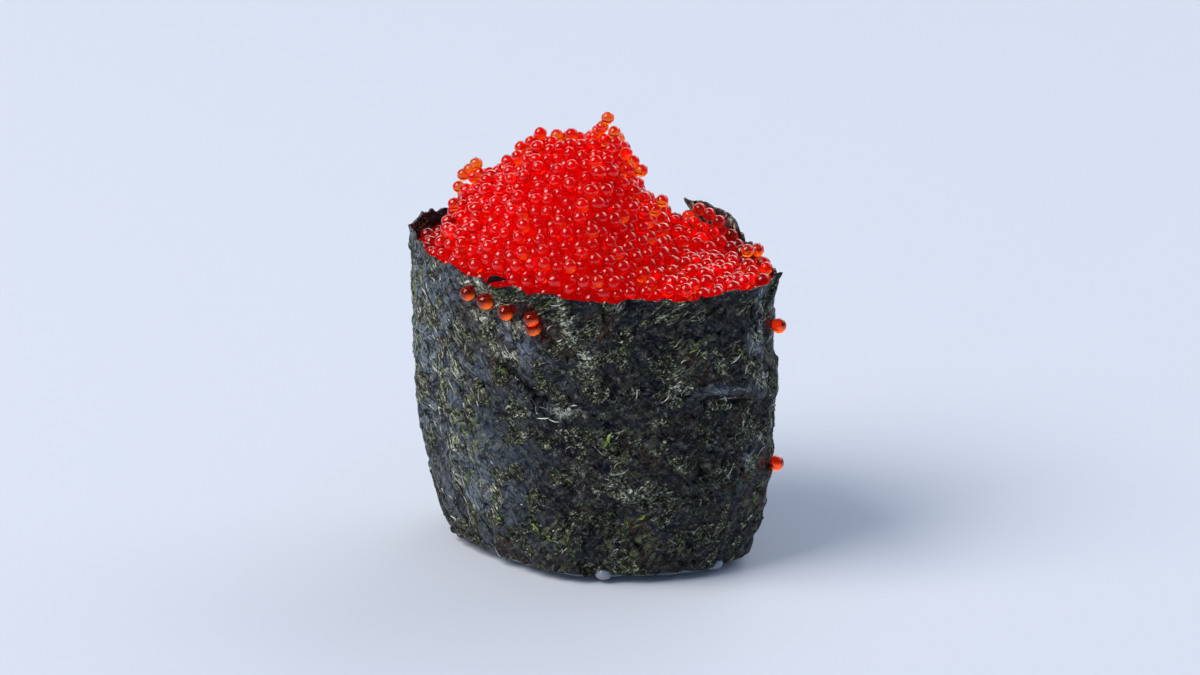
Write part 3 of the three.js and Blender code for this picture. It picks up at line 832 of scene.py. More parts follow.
thicken(flake, FLAKE["thickness"], 0)
bpy.ops.object.shade_smooth()
print("flake points:", len(flake.data.vertices))

# %% [markdown]
# ## The heap of eggs
# Real eggs are poured on and settle: each one rests against its neighbours, none in a row.
# Placing them on a grid would show at once. So they are dropped at random into a thick skin
# over the heap's form and then pushed apart, over and over, until hardly any two overlap,
# which is what gravity does to real ones. Eggs that stand clear on the real heap, such as the
# little tower on the peak, keep their places. The heap's form follows the rule of the solid
# under it, with the slant of its cliffs and the steps of its crest added.

# %% The heap's form
SHEET_ROOM = 0.34  # the eggs' room ends this far inside the wall's outer face
CREST_Y = 2
CREST_ROUNDNESS = 0.3
EDGE_LEVEL = 0.55  # level of the eggs' middles at the wall, over the rim
ROOM_SHARE = 0.97  # the share of the wall's height at which the room is measured
LEFT_CORNER = {"drop": 1.3, "start": 15, "end": 18.5}  # the eggs lie lower at the left end
# Along the crest: X, and the height of the topmost eggs' middles
CREST = np.array([
    (-22, 35.4), (-17.3, 36.2), (-16.4, 41.0), (-13.5, 42.8), (-10.5, 45.2), (-7.5, 48),
    (2.4, 48.8), (4.8, 44.4), (7.2, 40.2), (8.6, 36.6), (10.3, 35.4), (12.4, 35.9), (22, 35.0),
])
CREST_SINK = 0.3
# The cliffs of the heap don't run straight across it: X shifts by this much for each mm of Y
CLIFF_SLANT = {"front": 0.12, "back": 0.42}


def half_width_at(x):
    left = np.maximum(0, 1 - np.abs(x / HALF_LENGTH) ** FULLNESS)
    return HALF_WIDTH * left ** (1 / FULLNESS)


def heap_level(x, y):
    """Height of the topmost eggs' middles over a place."""
    rim = wall_point(turn_towards(x, y), 1.0)[..., 2]
    slant = np.where(y < CREST_Y, CLIFF_SLANT["front"], CLIFF_SLANT["back"])
    along = x + slant * (y - CREST_Y)
    in_corner = smooth(-along, LEFT_CORNER["start"], LEFT_CORNER["end"])
    edge = rim + EDGE_LEVEL - LEFT_CORNER["drop"] * in_corner
    crest = np.interp(along, CREST[:, 0], CREST[:, 1]) - CREST_SINK
    side = np.where(y < CREST_Y, -1, 1)
    run = np.maximum(half_width_at(x) - side * CREST_Y, 1)
    away = np.minimum(np.abs(y - CREST_Y) / run, 1)
    full = math.hypot(1, CREST_ROUNDNESS) - CREST_ROUNDNESS
    fall = (np.hypot(away, CREST_ROUNDNESS) - CREST_ROUNDNESS) / full
    return edge + (crest - edge) * (1 - fall)


def heap_normal(x, y, step=0.3):
    """Which way the heap's face looks over a place."""
    slope_x = (heap_level(x + step, y) - heap_level(x - step, y)) / (2 * step)
    slope_y = (heap_level(x, y + step) - heap_level(x, y - step)) / (2 * step)
    normal = np.stack([-slope_x, -slope_y, np.ones_like(slope_x)], axis=-1)
    return normal / np.linalg.norm(normal, axis=-1, keepdims=True)


def reach_of_wall(x, y):
    """Distance from the middle to the room's edge, on the bearing of a place."""
    wall = wall_point(turn_towards(x, y), ROOM_SHARE, -SHEET_ROOM)
    return np.hypot(wall[..., 0], wall[..., 1])


print("peak:", round(float(heap_level(np.array(1.0), np.array(2.0))), 2), "mm")

# %% Drop the eggs and let them settle
EGGS = 1080
SKIN = 1.6  # thickness of the layer that is filled with eggs
EGG_SPREAD = 0.06
EGG_LIMITS = (0.7, 0.98)
SQUEEZE = 0.94  # touching eggs flatten a little, so their middles may be this much closer
STANDS = (-0.8, 0.6)  # how far an egg's middle may lie over the heap's level
ROUNDS = 70
DRAWS = 20  # places drawn for each egg, as most fall outside the wall or on gentle slopes
FAR = 1e3  # keeps an egg from being pushed by itself
HEAP_SEED = 5
# Eggs that stand clear: X, Y and Z of their middles
STANDING_EGGS = np.array([
    (1.3, 2, 51.35), (0.6, 2, 50.2), (2.2, 1.8, 49.8), (1, 1.9, 48.7),
    (-17, 2, 42.5), (-15.5, 2.4, 43.9), (-15.6, 1.9, 42.4), (-7.1, 2, 48.6),
    (-5.3, 2.6, 48.4), (-3.2, 2, 48.9), (5.5, 2, 45.6), (8.2, 1.6, 42.4),
    (9.2, 10.9, 38.9), (10.6, 10.4, 38.6), (8.9, 10.1, 37.4), (11.9, 10.2, 37.9),
    (10.2, 9.4, 37.1), (11.6, 9.1, 36.8), (18.5, 2, 37.6), (-16.3, 2.3, 43.1), (-14.8, 1.9, 42.9),
    (-17.2, 1.2, 41.2), (0, 2.3, 49.6), (-0.4, 2.2, 48.9), (-8.3, 2, 47.4), (-6.6, 1.6, 47.4),
    (7.4, 1.4, 41.3), (4.4, 2.1, 46.5), (3.6, 2, 47.4),
])
STANDING_EGG = 0.78


def keep_in_skin(centres, radii, stands):
    """Moves eggs back into the layer over the heap and inside the wall."""
    x, y = centres[:, 0], centres[:, 1]
    normal = heap_normal(x, y)
    over = (centres[:, 2] - heap_level(x, y)) * normal[:, 2]
    centres = centres - normal * (np.maximum(over - stands, 0) + np.minimum(over + SKIN, 0))[:, None]
    x, y = centres[:, 0], centres[:, 1]
    distance = np.hypot(x, y)
    most = reach_of_wall(x, y) - radii
    share = np.minimum(1, most / np.maximum(distance, 1e-6))
    centres[:, 0] *= share
    centres[:, 1] *= share
    return centres


def push_apart(centres, radii):
    """One round in which every overlapping pair moves apart by half its overlap."""
    gap = centres[:, None] - centres[None]
    distance = np.sqrt((gap**2).sum(-1)) + np.eye(len(centres)) * FAR
    want = SQUEEZE * (radii[:, None] + radii[None])
    overlap = np.maximum(want - distance, 0)
    return centres + 0.5 * (gap / distance[..., None] * overlap[..., None]).sum(1)


def settle_eggs():
    draw = np.random.default_rng(HEAP_SEED)
    x = draw.uniform(-HALF_LENGTH, HALF_LENGTH, DRAWS * EGGS)
    y = draw.uniform(-HALF_WIDTH, HALF_WIDTH, DRAWS * EGGS)
    inside = np.hypot(x, y) < reach_of_wall(x, y) - EGG
    x, y = x[inside], y[inside]
    steepness = 1 / heap_normal(x, y)[:, 2]
    chosen = draw.random(len(x)) < steepness / steepness.max()
    x, y = x[chosen][:EGGS], y[chosen][:EGGS]
    z = heap_level(x, y) - draw.uniform(0, SKIN, len(x)) / heap_normal(x, y)[:, 2]
    loose = np.stack([x, y, z], axis=-1)
    centres = np.concatenate([STANDING_EGGS, loose])
    radii = np.clip(draw.normal(EGG, EGG_SPREAD, len(centres)), *EGG_LIMITS)
    stands = draw.uniform(*STANDS, len(centres))
    fixed = len(STANDING_EGGS)
    radii[:fixed] = STANDING_EGG
    for _ in range(ROUNDS):
        centres = push_apart(centres, radii)
        centres = keep_in_skin(centres, radii, stands)
        centres[:fixed] = STANDING_EGGS
    return centres, radii, draw


def standing_over(centres):
    """How far each egg's middle stands over the heap's level, square to it."""
    x, y = centres[:, 0], centres[:, 1]
    return (centres[:, 2] - heap_level(x, y)) * heap_normal(x, y)[:, 2]


CORE_SINK = 0.95  # the juice between the eggs stands this far under their level
SEEN = 0.9  # an egg whose middle lies this share of its radius under the juice is left out
egg_centres, egg_radii, egg_draw = settle_eggs()
seen = standing_over(egg_centres) > -CORE_SINK - SEEN * egg_radii
egg_centres, egg_radii = egg_centres[seen], egg_radii[seen]
print(len(egg_centres), "eggs, highest at", round(float(egg_centres[:, 2].max()), 2), "mm")

# %% [markdown]
# ## One egg, copied
# An egg is a ball a little under two millimetres across, and it shows as a dozen pixels, so
# it needs few faces. A cube whose sides are cut in three and blown up to a ball has 54 even
# faces and no poles. It is modelled once. Each copy gets its own size, its own turn and a
# slightly uneven stretch, and all copies become one mesh.

# %% Model one egg
deselect_all()
bpy.ops.mesh.primitive_cube_add(size=1)
bpy.ops.object.mode_set(mode="EDIT")
bpy.ops.mesh.select_all(action="SELECT")
bpy.ops.mesh.subdivide(number_cuts=2)
bpy.ops.transform.tosphere(value=1)
bpy.ops.object.mode_set(mode="OBJECT")
ball = bpy.context.object
ball_points = points_of(ball)
ball_points /= np.linalg.norm(ball_points, axis=1, keepdims=True)
ball_faces = np.array([list(face.vertices) for face in ball.data.polygons])
bpy.data.objects.remove(ball)
print("one egg has", len(ball_faces), "faces")

# %% Copy it over the heap
def random_turns(draw, count):
    """Rotation matrices spread evenly over all directions."""
    q = draw.normal(size=(count, 4))
    w, x, y, z = (q / np.linalg.norm(q, axis=1, keepdims=True)).T
    rows = [
        [1 - 2 * (y * y + z * z), 2 * (x * y - z * w), 2 * (x * z + y * w)],
        [2 * (x * y + z * w), 1 - 2 * (x * x + z * z), 2 * (y * z - x * w)],
        [2 * (x * z - y * w), 2 * (y * z + x * w), 1 - 2 * (x * x + y * y)],
    ]
    return np.moveaxis(np.array(rows), -1, 0)


def copies(name, points, faces, centres, sizes, turns):
    """One mesh with a copy of a shape at each centre, sized and turned."""
    placed = np.einsum("nij,nvj->nvi", turns, points[None] * sizes[:, None])
    placed = (placed + centres[:, None]) * MM
    shifts = len(points) * np.arange(len(centres))[:, None, None]
    all_faces = (faces[None] + shifts).reshape(-1, faces.shape[1])
    piece = add_mesh(name, placed.reshape(-1, 3), all_faces)
    select_only(piece)
    bpy.ops.object.shade_smooth()
    return piece


# Light crosses the eggs from the upper left and from behind, and each gathers it on its far side,
# where the finish paints it as a glow
FAR_SIDE = np.array([0.5, -0.42, -0.76])
EGG_UNEVENNESS = 0.02
# Tints run from 0, red, to 1, orange: every egg has a little and odd ones have more. Proud and
# standing ones have more as painted light, for the light from behind that crosses them
TINTS = {"all": 0.3, "proud": 0.75, "proud_over": 0.4, "odd_over": 0.96, "standing": 0.6}
PROUD = (0.1, 0.8)  # how far over the heap's level an egg begins to be proud, and is quite so
# The free corner of the strip stands dark behind the eggs near this place, so they get less of
# the painted orange and a stronger painted glow
FREE_CORNER = {"x": 10.4, "y": 10.4, "reach": 2.1, "redder": 0.7}


def add_eggs(name, centres, radii, tints, draw):
    sizes = radii[:, None] * draw.normal(1, EGG_UNEVENNESS, (len(radii), 3))
    turns = random_turns(draw, len(radii))
    piece = copies(name, ball_points, ball_faces, centres, sizes, turns)
    facing = np.einsum("nij,vj->nvi", turns, ball_points) @ FAR_SIDE
    add_number(piece, "far_side", facing.ravel())
    add_number(piece, "tint", np.repeat(tints, len(ball_points)))
    return piece


proud = smooth(standing_over(egg_centres), *PROUD)
chance = egg_draw.random(len(egg_radii))
egg_tints = TINTS["all"] * chance + TINTS["proud"] * proud * (chance > TINTS["proud_over"])
egg_tints = np.clip(egg_tints + (chance > TINTS["odd_over"]), 0, 1)
standing = slice(len(STANDING_EGGS))
egg_tints[standing] = TINTS["standing"] + (1 - TINTS["standing"]) * chance[standing]
at_corner = egg_centres[:, :2] - (FREE_CORNER["x"], FREE_CORNER["y"])
backed = hump(np.hypot(*at_corner.T), FREE_CORNER["reach"])
egg_tints *= 1 - FREE_CORNER["redder"] * backed
heap = add_eggs("roe_heap", egg_centres, egg_radii, egg_tints, egg_draw)
add_number(heap, "backed", np.repeat(backed, len(ball_points)))
stray = np.array(STRAY_EGGS)
stray_lengths = sheet_length(stray[:, 0], stray[:, 1])
stray_middles = on_sheet(stray_lengths, stray[:, 1] * STRIP_WIDTH, stray[:, 2] * stray[:, 3])
stray_eggs = add_eggs("stray_eggs", stray_middles, stray[:, 2], np.ones(len(stray)), egg_draw)
print("faces of the heap:", len(heap.data.polygons))

# %% [markdown]
# ## What lies under the eggs
# Between the eggs one looks into a deep red mass. Filling it with eggs would cost a great
# many faces that nobody sees, so it is one closed form under the layer of eggs. It starts
# as a square grid, which is rounded to the oval and lifted to the heap's own level, and an
# extrusion downwards closes it.

# %% Make the core of the heap
CORE_GRID = 90
CORE_FLOOR = 21.8
CORE_ROUGHNESS = (0.25, 21, 2.2, 1)
CORE_FOOT_SHARE = 0.6  # the share of the wall's height whose outline its underside has
CORE_DROP = {"deep": 2.0, "start": 0.84, "end": 0.94}  # it sinks towards the wall
CORE_ROOM = 1.3  # the core ends this far inside the wall's outer face, clear of its dents
# Where the juice stands highest: X and Y of the middle, reach, and how much it rises there
WET_PATCHES = [(-8, -5, 7, 0.15)]


def rounded_square(flat):
    """Maps a square from -1 to 1 onto a disc."""
    x, y = flat[:, 0], flat[:, 1]
    return x * np.sqrt(1 - y * y / 2), y * np.sqrt(1 - x * x / 2)


def oval_place(flat, share, gap):
    """Places inside the wall at a share of its height for points of a flat square."""
    x, y = rounded_square(flat)
    reach = np.hypot(x, y)
    wall = wall_point(turn_towards(x * HALF_LENGTH, y * HALF_WIDTH), share, -gap)
    return wall[:, 0] * reach, wall[:, 1] * reach


def closed_plug(name, top, bottom):
    """A closed form between two faces, each a rule that turns flat points into places."""
    deselect_all()
    bpy.ops.mesh.primitive_grid_add(x_subdivisions=CORE_GRID, y_subdivisions=CORE_GRID, size=2)
    piece = new_piece(name)
    flat = points_of(piece)
    count = len(flat)
    bpy.ops.object.mode_set(mode="EDIT")
    bpy.ops.mesh.select_all(action="SELECT")
    bpy.ops.mesh.extrude_region_move(TRANSFORM_OT_translate={"value": (0, 0, -1)})
    bpy.ops.object.mode_set(mode="OBJECT")
    points = points_of(piece)
    lower = points[:, 2] < -0.5
    points[~lower] = top(points[~lower, :2])
    points[lower] = bottom(points[lower, :2])
    set_points(piece, MM * points)
    bpy.ops.object.mode_set(mode="EDIT")
    bpy.ops.mesh.select_all(action="SELECT")
    bpy.ops.mesh.normals_make_consistent(inside=False)
    bpy.ops.object.mode_set(mode="OBJECT")
    bpy.ops.object.shade_smooth()
    print(name, "grew from", count, "to", len(points), "points")
    return piece


def core_top(flat):
    x, y = oval_place(flat, ROOM_SHARE, CORE_ROOM)
    sunk = CORE_SINK + uneven(CORE_ROUGHNESS, x, y)
    for patch_x, patch_y, reach, rise in WET_PATCHES:
        sunk = sunk - rise * hump(np.hypot(x - patch_x, y - patch_y), reach)
    at_wall = np.hypot(x, y) / reach_of_wall(x, y)
    sunk = sunk + CORE_DROP["deep"] * smooth(at_wall, CORE_DROP["start"], CORE_DROP["end"])
    sunk = sunk / heap_normal(x, y)[:, 2]
    return np.stack([x, y, heap_level(x, y) - sunk], axis=-1)


def core_bottom(flat):
    x, y = oval_place(flat, CORE_FOOT_SHARE, 2 * CORE_ROOM)
    return np.stack([x, y, np.full(len(x), CORE_FLOOR)], axis=-1)


core = closed_plug("roe_core", core_top, core_bottom)

# %% [markdown]
# ## The rice
# Only a few grains show, under the strip's lower edge and from below, where the sushi stands
# on them. Cooked grains are short, plump and a little see-through, and pressing has stuck
# them together. One grain is a stretched ball with one blunt end, and a bed of them is pressed
# into the underside of a plain block, which is all that fills the band further up.

# %% Model one grain
GRAIN_SIZE = np.array([6.2, 2.9, 2.5])
GRAIN_BLUNT = {"narrower": 0.25, "off_middle": 0.2}
GRAIN_BOW = 0.06  # how far its middle hangs, as a share of its thickness

grain_points = ball_points / 2
from_widest = grain_points[:, :1] + GRAIN_BLUNT["off_middle"]
grain_points[:, 1:] *= 1 - GRAIN_BLUNT["narrower"] * from_widest**2
grain_points[:, 2] -= GRAIN_BOW * (1 - 4 * grain_points[:, 0] ** 2)
print("a grain is", GRAIN_SIZE, "mm")

# %% Lay the grains
BED_LEVELS = (1.35, 2.9)
BED_PITCH = (4.5, 2.6)
BED_SEED = 8
BED_SPREAD = (0.35, 0.12)  # how far a grain strays sideways and in height
BED_SHARE = 0.03  # the share of the wall's height whose outline bounds the bed
GRAIN_END = 0.32  # from a grain's middle to that of its rounded end, as a share of its length
GRAIN_SPREAD = 0.05
REST = 0.48  # the least height of a grain's middle, as a share of its thickness
RICE_ROOM = 0.9  # the rice ends this far inside the wall's outer face
# Grains that show under the strip's edge: X, Y, Z of the middle and heading in degrees
PEEPING_GRAINS = [(5.8, -9.9, 1.3, 112), (15.6, -3.2, 1.35, 158)]


def lay_grains():
    draw = np.random.default_rng(BED_SEED)
    centres, headings = [], []
    for layer, level in enumerate(BED_LEVELS):
        for row, y in enumerate(np.arange(-HALF_WIDTH, HALF_WIDTH, BED_PITCH[1])):
            shift = (row % 2 + layer) * BED_PITCH[0] / 2
            for x in np.arange(-HALF_LENGTH, HALF_LENGTH, BED_PITCH[0]) + shift:
                place = np.array([x, y]) + draw.normal(0, BED_SPREAD[0], 2)
                heading = draw.uniform(0, math.pi)
                height = level + draw.normal(0, BED_SPREAD[1])
                centres.append((*place, height))
                headings.append(heading)
    centres, headings = np.array(centres), np.array(headings)
    way = np.stack([np.cos(headings), np.sin(headings)], axis=-1) * GRAIN_SIZE[0] * GRAIN_END
    worst = np.zeros(len(centres))
    for side in (-1, 1):
        end = centres[:, :2] + side * way
        turn = turn_towards(end[:, 0], end[:, 1])
        wall = wall_point(turn, BED_SHARE, -RICE_ROOM - GRAIN_SIZE[1] / 2)
        worst = np.maximum(worst, np.hypot(end[:, 0], end[:, 1]) / np.hypot(wall[:, 0], wall[:, 1]))
    inside = worst < 1
    return centres[inside], headings[inside], draw


grain_centres, grain_headings, grain_draw = lay_grains()
peeping = np.array(PEEPING_GRAINS)
grain_centres = np.concatenate([grain_centres, peeping[:, :3]])
grain_headings = np.concatenate([grain_headings, np.radians(peeping[:, 3])])
grain_sizes = GRAIN_SIZE * grain_draw.normal(1, GRAIN_SPREAD, (len(grain_centres), 3))
grain_centres[:, 2] = np.maximum(grain_centres[:, 2], REST * grain_sizes[:, 2])
cosine, sine = np.cos(grain_headings), np.sin(grain_headings)
zero, unit = np.zeros_like(cosine), np.ones_like(cosine)
turned = np.array([[cosine, -sine, zero], [sine, cosine, zero], [zero, zero, unit]])
grain_turns = np.moveaxis(turned, -1, 0)
grains = copies("rice_grains", grain_points, ball_faces, grain_centres, grain_sizes, grain_turns)
subdivision = grains.modifiers.new("round", "SUBSURF")
subdivision.levels = subdivision.render_levels = 1
apply_modifiers(grains)
print(len(grain_centres), "grains")

# %% The pressed block of rice
BLOCK_FOOT = 0.75
BLOCK_ROUGHNESS = (0.4, 31, 2.4, 1)
BLOCK_TOP = 22


def share_at(height):
    return (height - STANDING_GAP) / STRIP_WIDTH


def block_top(flat):
    x, y = oval_place(flat, share_at(BLOCK_TOP), CORE_ROOM)
    return np.stack([x, y, np.full(len(x), BLOCK_TOP)], axis=-1)


def block_bottom(flat):
    x, y = oval_place(flat, 0, RICE_ROOM)
    return np.stack([x, y, BLOCK_FOOT + uneven(BLOCK_ROUGHNESS, x, y)], axis=-1)


block = closed_plug("rice_block", block_top, block_bottom)

# %% [markdown]
# ## Finishes
# Each finish is one Principled shader. A small helper makes the material and hands back its
# nodes, so that the lines below only say what this finish has of its own.

# %% Helpers for finishes
def new_finish(name, **values):
    finish = bpy.data.materials.new(name)
    finish.use_nodes = True
    shader = finish.node_tree.nodes["Principled BSDF"]
    for key, value in values.items():
        shader.inputs[key.replace("_", " ")].default_value = value
    return finish, shader


def add_node(finish, kind, **values):
    """A node with settings in lower case and inputs by their own names."""
    made = finish.node_tree.nodes.new(kind)
    for key, value in values.items():
        if key in made.inputs:
            made.inputs[key].default_value = value
        else:
            setattr(made, key, value)
    return made


def link(finish, source, target):
    finish.node_tree.links.new(source, target)


def read_number(finish, name):
    return add_node(finish, "ShaderNodeAttribute", attribute_name=name).outputs["Fac"]


def ramp(finish, value, stops):
    """Turns a number into a colour, by stops of place and colour."""
    made = add_node(finish, "ShaderNodeValToRGB")
    steps = made.color_ramp.elements
    while len(steps) < len(stops):
        steps.new(0.5)
    for step, (place, colour) in zip(steps, stops):
        step.position = place
        step.color = (*colour, 1)
    link(finish, value, made.inputs["Fac"])
    return made.outputs["Color"]


def mix(finish, amount, first, second):
    """A colour between two others, by an amount from 0 to 1."""
    made = add_node(finish, "ShaderNodeMix", data_type="RGBA")
    slots = [made.inputs[0], made.inputs[6], made.inputs[7]]
    for target, source in zip(slots, (amount, first, second)):
        if isinstance(source, bpy.types.NodeSocket):
            link(finish, source, target)
        else:
            target.default_value = source if isinstance(source, float) else (*source, 1)
    return made.outputs[2]


def between(finish, value, low, high, to_low=0.0, to_high=1.0):
    """Maps a range of numbers onto another, clamped."""
    made = add_node(finish, "ShaderNodeMapRange")
    ends = {"From Min": low, "From Max": high, "To Min": to_low, "To Max": to_high}
    for target, number in ends.items():
        made.inputs[target].default_value = number
    link(finish, value, made.inputs["Value"])
    return made.outputs["Result"]


def combine(finish, kind, first, second):
    made = add_node(finish, "ShaderNodeMath", operation=kind)
    for target, source in zip(made.inputs, (first, second)):
        if isinstance(source, bpy.types.NodeSocket):
            link(finish, source, target)
        else:
            target.default_value = source
    return made.outputs["Value"]


def times(finish, first, second):
    return combine(finish, "MULTIPLY", first, second)


def larger(finish, first, second):
    return combine(finish, "MAXIMUM", first, second)


def speckle(finish, scale):
    """A fine noise that reads the object's own coordinates."""
    made = add_node(finish, "ShaderNodeTexNoise", Scale=scale, Detail=2.0)
    place = add_node(finish, "ShaderNodeTexCoord")
    link(finish, place.outputs["Object"], made.inputs["Vector"])
    return made.outputs["Fac"]


print("helpers ready")

# %% [markdown]
# ## Finish of the seaweed
# The sheet is nearly black where it is damp and slate grey where it has dried. The same slate
# grey is painted light on the lit left end, on the sheen of the folded ridge at the right and on
# the band over the fold. Smooth blades of dark blue, brown and plum are felted into it, clouds of
# fine olive fibres lie between them, and pale threads lie over all, the palest of them partly
# painted glints. The pattern follows the sheet, so it reads the strip's own map, which is laid out
# in the strip's real millimetres. Blades come from stretched cells, each with its own colour and
# its own slope, and threads are the thin lines where a soft noise passes its middle. Creases and
# thin gaps are painted black, which is painted shade. All of it drives the bump as well, with
# heights in real millimetres.

# %% Colours of the seaweed
BLACK = (0.0012, 0.0012, 0.0016)
NIGHT = (0.0025, 0.003, 0.006)
NAVY = (0.008, 0.010, 0.019)
SLATE = (0.185, 0.22, 0.275)
BOTTLE = (0.005, 0.009, 0.007)
OLIVE = (0.03, 0.035, 0.012)
MOSS = (0.13, 0.15, 0.06)
BARK = (0.036, 0.017, 0.009)
PLUM = (0.013, 0.007, 0.012)
STRAW = (0.85, 0.85, 0.72)
BLOOD = (0.13, 0.004, 0.003)
print("from", BLACK, "to", STRAW)

# %% Helpers for patterns on the strip
def strip_place(finish, degrees, width, length):
    """The map's coordinates, turned and counted in widths and lengths of a streak."""
    read = add_node(finish, "ShaderNodeUVMap", uv_map="strip_map")
    turned = add_node(finish, "ShaderNodeMapping", vector_type="POINT")
    turned.inputs["Rotation"].default_value = (0, 0, math.radians(-degrees))
    link(finish, read.outputs["UV"], turned.inputs["Vector"])
    scaled = add_node(finish, "ShaderNodeMapping", vector_type="POINT")
    scaled.inputs["Scale"].default_value = (MAP_SIDE / length, MAP_SIDE / width, 1)
    link(finish, turned.outputs["Vector"], scaled.inputs["Vector"])
    return scaled.outputs["Vector"]


def bent(finish, place, amount):
    """Pushes coordinates about by a soft noise, so that straight edges become torn ones."""
    push = add_node(finish, "ShaderNodeTexNoise", Scale=0.7, Detail=3.0)
    link(finish, place, push.inputs["Vector"])
    centred = add_node(finish, "ShaderNodeVectorMath", operation="SUBTRACT")
    link(finish, push.outputs["Color"], centred.inputs[0])
    centred.inputs[1].default_value = (0.5, 0.5, 0.5)
    sized = add_node(finish, "ShaderNodeVectorMath", operation="MULTIPLY_ADD")
    link(finish, centred.outputs[0], sized.inputs[0])
    sized.inputs[1].default_value = (amount, amount, 0)
    link(finish, place, sized.inputs[2])
    return sized.outputs[0]


def strip_noise(finish, degrees, width, length, detail, distortion=0.0):
    made = add_node(finish, "ShaderNodeTexNoise", Scale=1.0, Detail=detail, Distortion=distortion)
    link(finish, strip_place(finish, degrees, width, length), made.inputs["Vector"])
    return made.outputs["Fac"]


def strip_cells(finish, degrees, width, length, ragged):
    """Blades: three random numbers for each, and how high its own slope stands here."""
    place = bent(finish, strip_place(finish, degrees, width, length), ragged)
    made = add_node(finish, "ShaderNodeTexVoronoi", Scale=1.0, Randomness=1.0)
    link(finish, place, made.inputs["Vector"])
    split = add_node(finish, "ShaderNodeSeparateColor")
    link(finish, made.outputs["Color"], split.inputs["Color"])
    offset = add_node(finish, "ShaderNodeVectorMath", operation="SUBTRACT")
    link(finish, place, offset.inputs[0])
    link(finish, made.outputs["Position"], offset.inputs[1])
    slope = add_node(finish, "ShaderNodeVectorMath", operation="SUBTRACT")
    link(finish, made.outputs["Color"], slope.inputs[0])
    slope.inputs[1].default_value = (0.5, 0.5, 0.5)
    tilt = add_node(finish, "ShaderNodeVectorMath", operation="DOT_PRODUCT")
    link(finish, offset.outputs[0], tilt.inputs[0])
    link(finish, slope.outputs[0], tilt.inputs[1])
    numbers = [split.outputs[channel] for channel in ("Red", "Green", "Blue")]
    return numbers, tilt.outputs["Value"]


def strip_threads(finish, degrees, width, length, thickness, distortion):
    """Thin lines where a noise passes its middle, 1 on a line and 0 off it."""
    level = strip_noise(finish, degrees, width, length, 1.5, distortion)
    off = combine(finish, "ABSOLUTE", combine(finish, "SUBTRACT", level, 0.5), 0.0)
    return between(finish, off, 0.0, thickness, 1.0, 0.0)


def total(finish, *parts):
    """Adds up pairs of a number and a weight."""
    added = None
    for number, weight in parts:
        part = times(finish, number, weight)
        added = part if added is None else combine(finish, "ADD", added, part)
    return added


print("patterns are laid out", MAP_SIDE, "mm to a unit of the map")

# %% Sizes of the sheet's patterns
# Each noise: slant in degrees, width and length of its streaks in mm, detail, distortion
CURLS = (30, 0.34, 0.6, 3.0, 1.5)
STRANDS = (LEFT_SLANT, 0.24, 1.5, 3.0, 0.5)
CLOUDS = (30, 0.8, 1.2, 3.0, 0.6)
BREAKS = (20, 0.7, 1.0, 2.0)
WEAR = (15, 1.2, 2.0, 3.0)
SWELL = (-45, 0.9, 1.8, 2.0, 0.6)
# Each set of blades: slant, width, length, and how ragged they are
LARGE_BLADES = (-38, 2.3, 3.4, 0.7)
SMALL_BLADES = (48, 0.4, 1.0, 0.8)
# Each set of threads: slant, width and length of its noise's streaks, thickness, distortion
THREADS = [(-50, 0.4, 1.6, 0.035, 1.0), (35, 0.5, 1.4, 0.03, 1.0), (80, 0.4, 1.2, 0.03, 1.0)]
# The gaps have the same columns; the finish paints them black, which is painted shade
GAPS = (-48, 1.2, 3.0, 0.03, 0.9)
# Heights of the fine relief in mm
HEIGHTS = {
    "blades": 2.2, "fibres": 0.5, "threads": 0.08, "swell": 0.9, "gaps": -0.12, "crevice": -0.3,
}
GLOSS = (0.16, 0.4)  # roughness where the sheet is smooth, and where it is worn
print("layers of relief:", len(HEIGHTS))

# %% Colours of the blades, the fibres and the threads
def blade_colours(finish, dry_and_lit):
    """Colour of the large blades, and how high each one's own slope stands."""
    (red, hue, blue), tilt = strip_cells(finish, *LARGE_BLADES)
    stops = [(0.0, NIGHT), (0.3, NAVY), (0.5, BOTTLE), (0.7, PLUM), (0.9, NIGHT)]
    colour = ramp(finish, red, stops)
    # Slate grey where the sheet dried, and painted light where it is lit
    slate = times(finish, between(finish, hue, 0.1, 0.65, 0.3, 1.0), dry_and_lit)
    colour = mix(finish, slate, colour, SLATE)
    return mix(finish, between(finish, blue, 0.84, 0.9, 0.0, 0.8), colour, BARK), tilt


def fibre_clouds(finish, dry_and_lit, pale):
    """Colour of the fine fibres, how high they stand, and where their clouds lie."""
    fine = mix(finish, dry_and_lit, strip_noise(finish, *CURLS), strip_noise(finish, *STRANDS))
    lit = total(finish, (fine, 1.0), (pale, 0.15), (dry_and_lit, 0.06))
    colour = ramp(finish, lit, [(0.46, BLACK), (0.52, OLIVE), (0.58, MOSS), (0.7, STRAW)])
    felt = read_number(finish, "felt")
    clouds = total(finish, (strip_noise(finish, *CLOUDS), 0.4), (felt, 1.0))
    clouds = between(finish, clouds, 0.43, 0.55)
    return colour, fine, larger(finish, clouds, between(finish, pale, 0.3, 0.9))


def thread_lines(finish):
    """Thin threads that break off and go on."""
    first, *others = (strip_threads(finish, *kind) for kind in THREADS)
    for line in others:
        first = larger(finish, first, line)
    return times(finish, first, between(finish, strip_noise(finish, *BREAKS), 0.5, 0.6))


print("patterns of", len(THREADS), "sets of threads")

# %% Make the seaweed's finish
def seaweed_relief(finish, layers):
    height = total(finish, *((layers[name], depth) for name, depth in HEIGHTS.items()))
    bump = add_node(finish, "ShaderNodeBump", Strength=1.0, Distance=MM)
    link(finish, height, bump.inputs["Height"])
    return bump.outputs["Normal"]


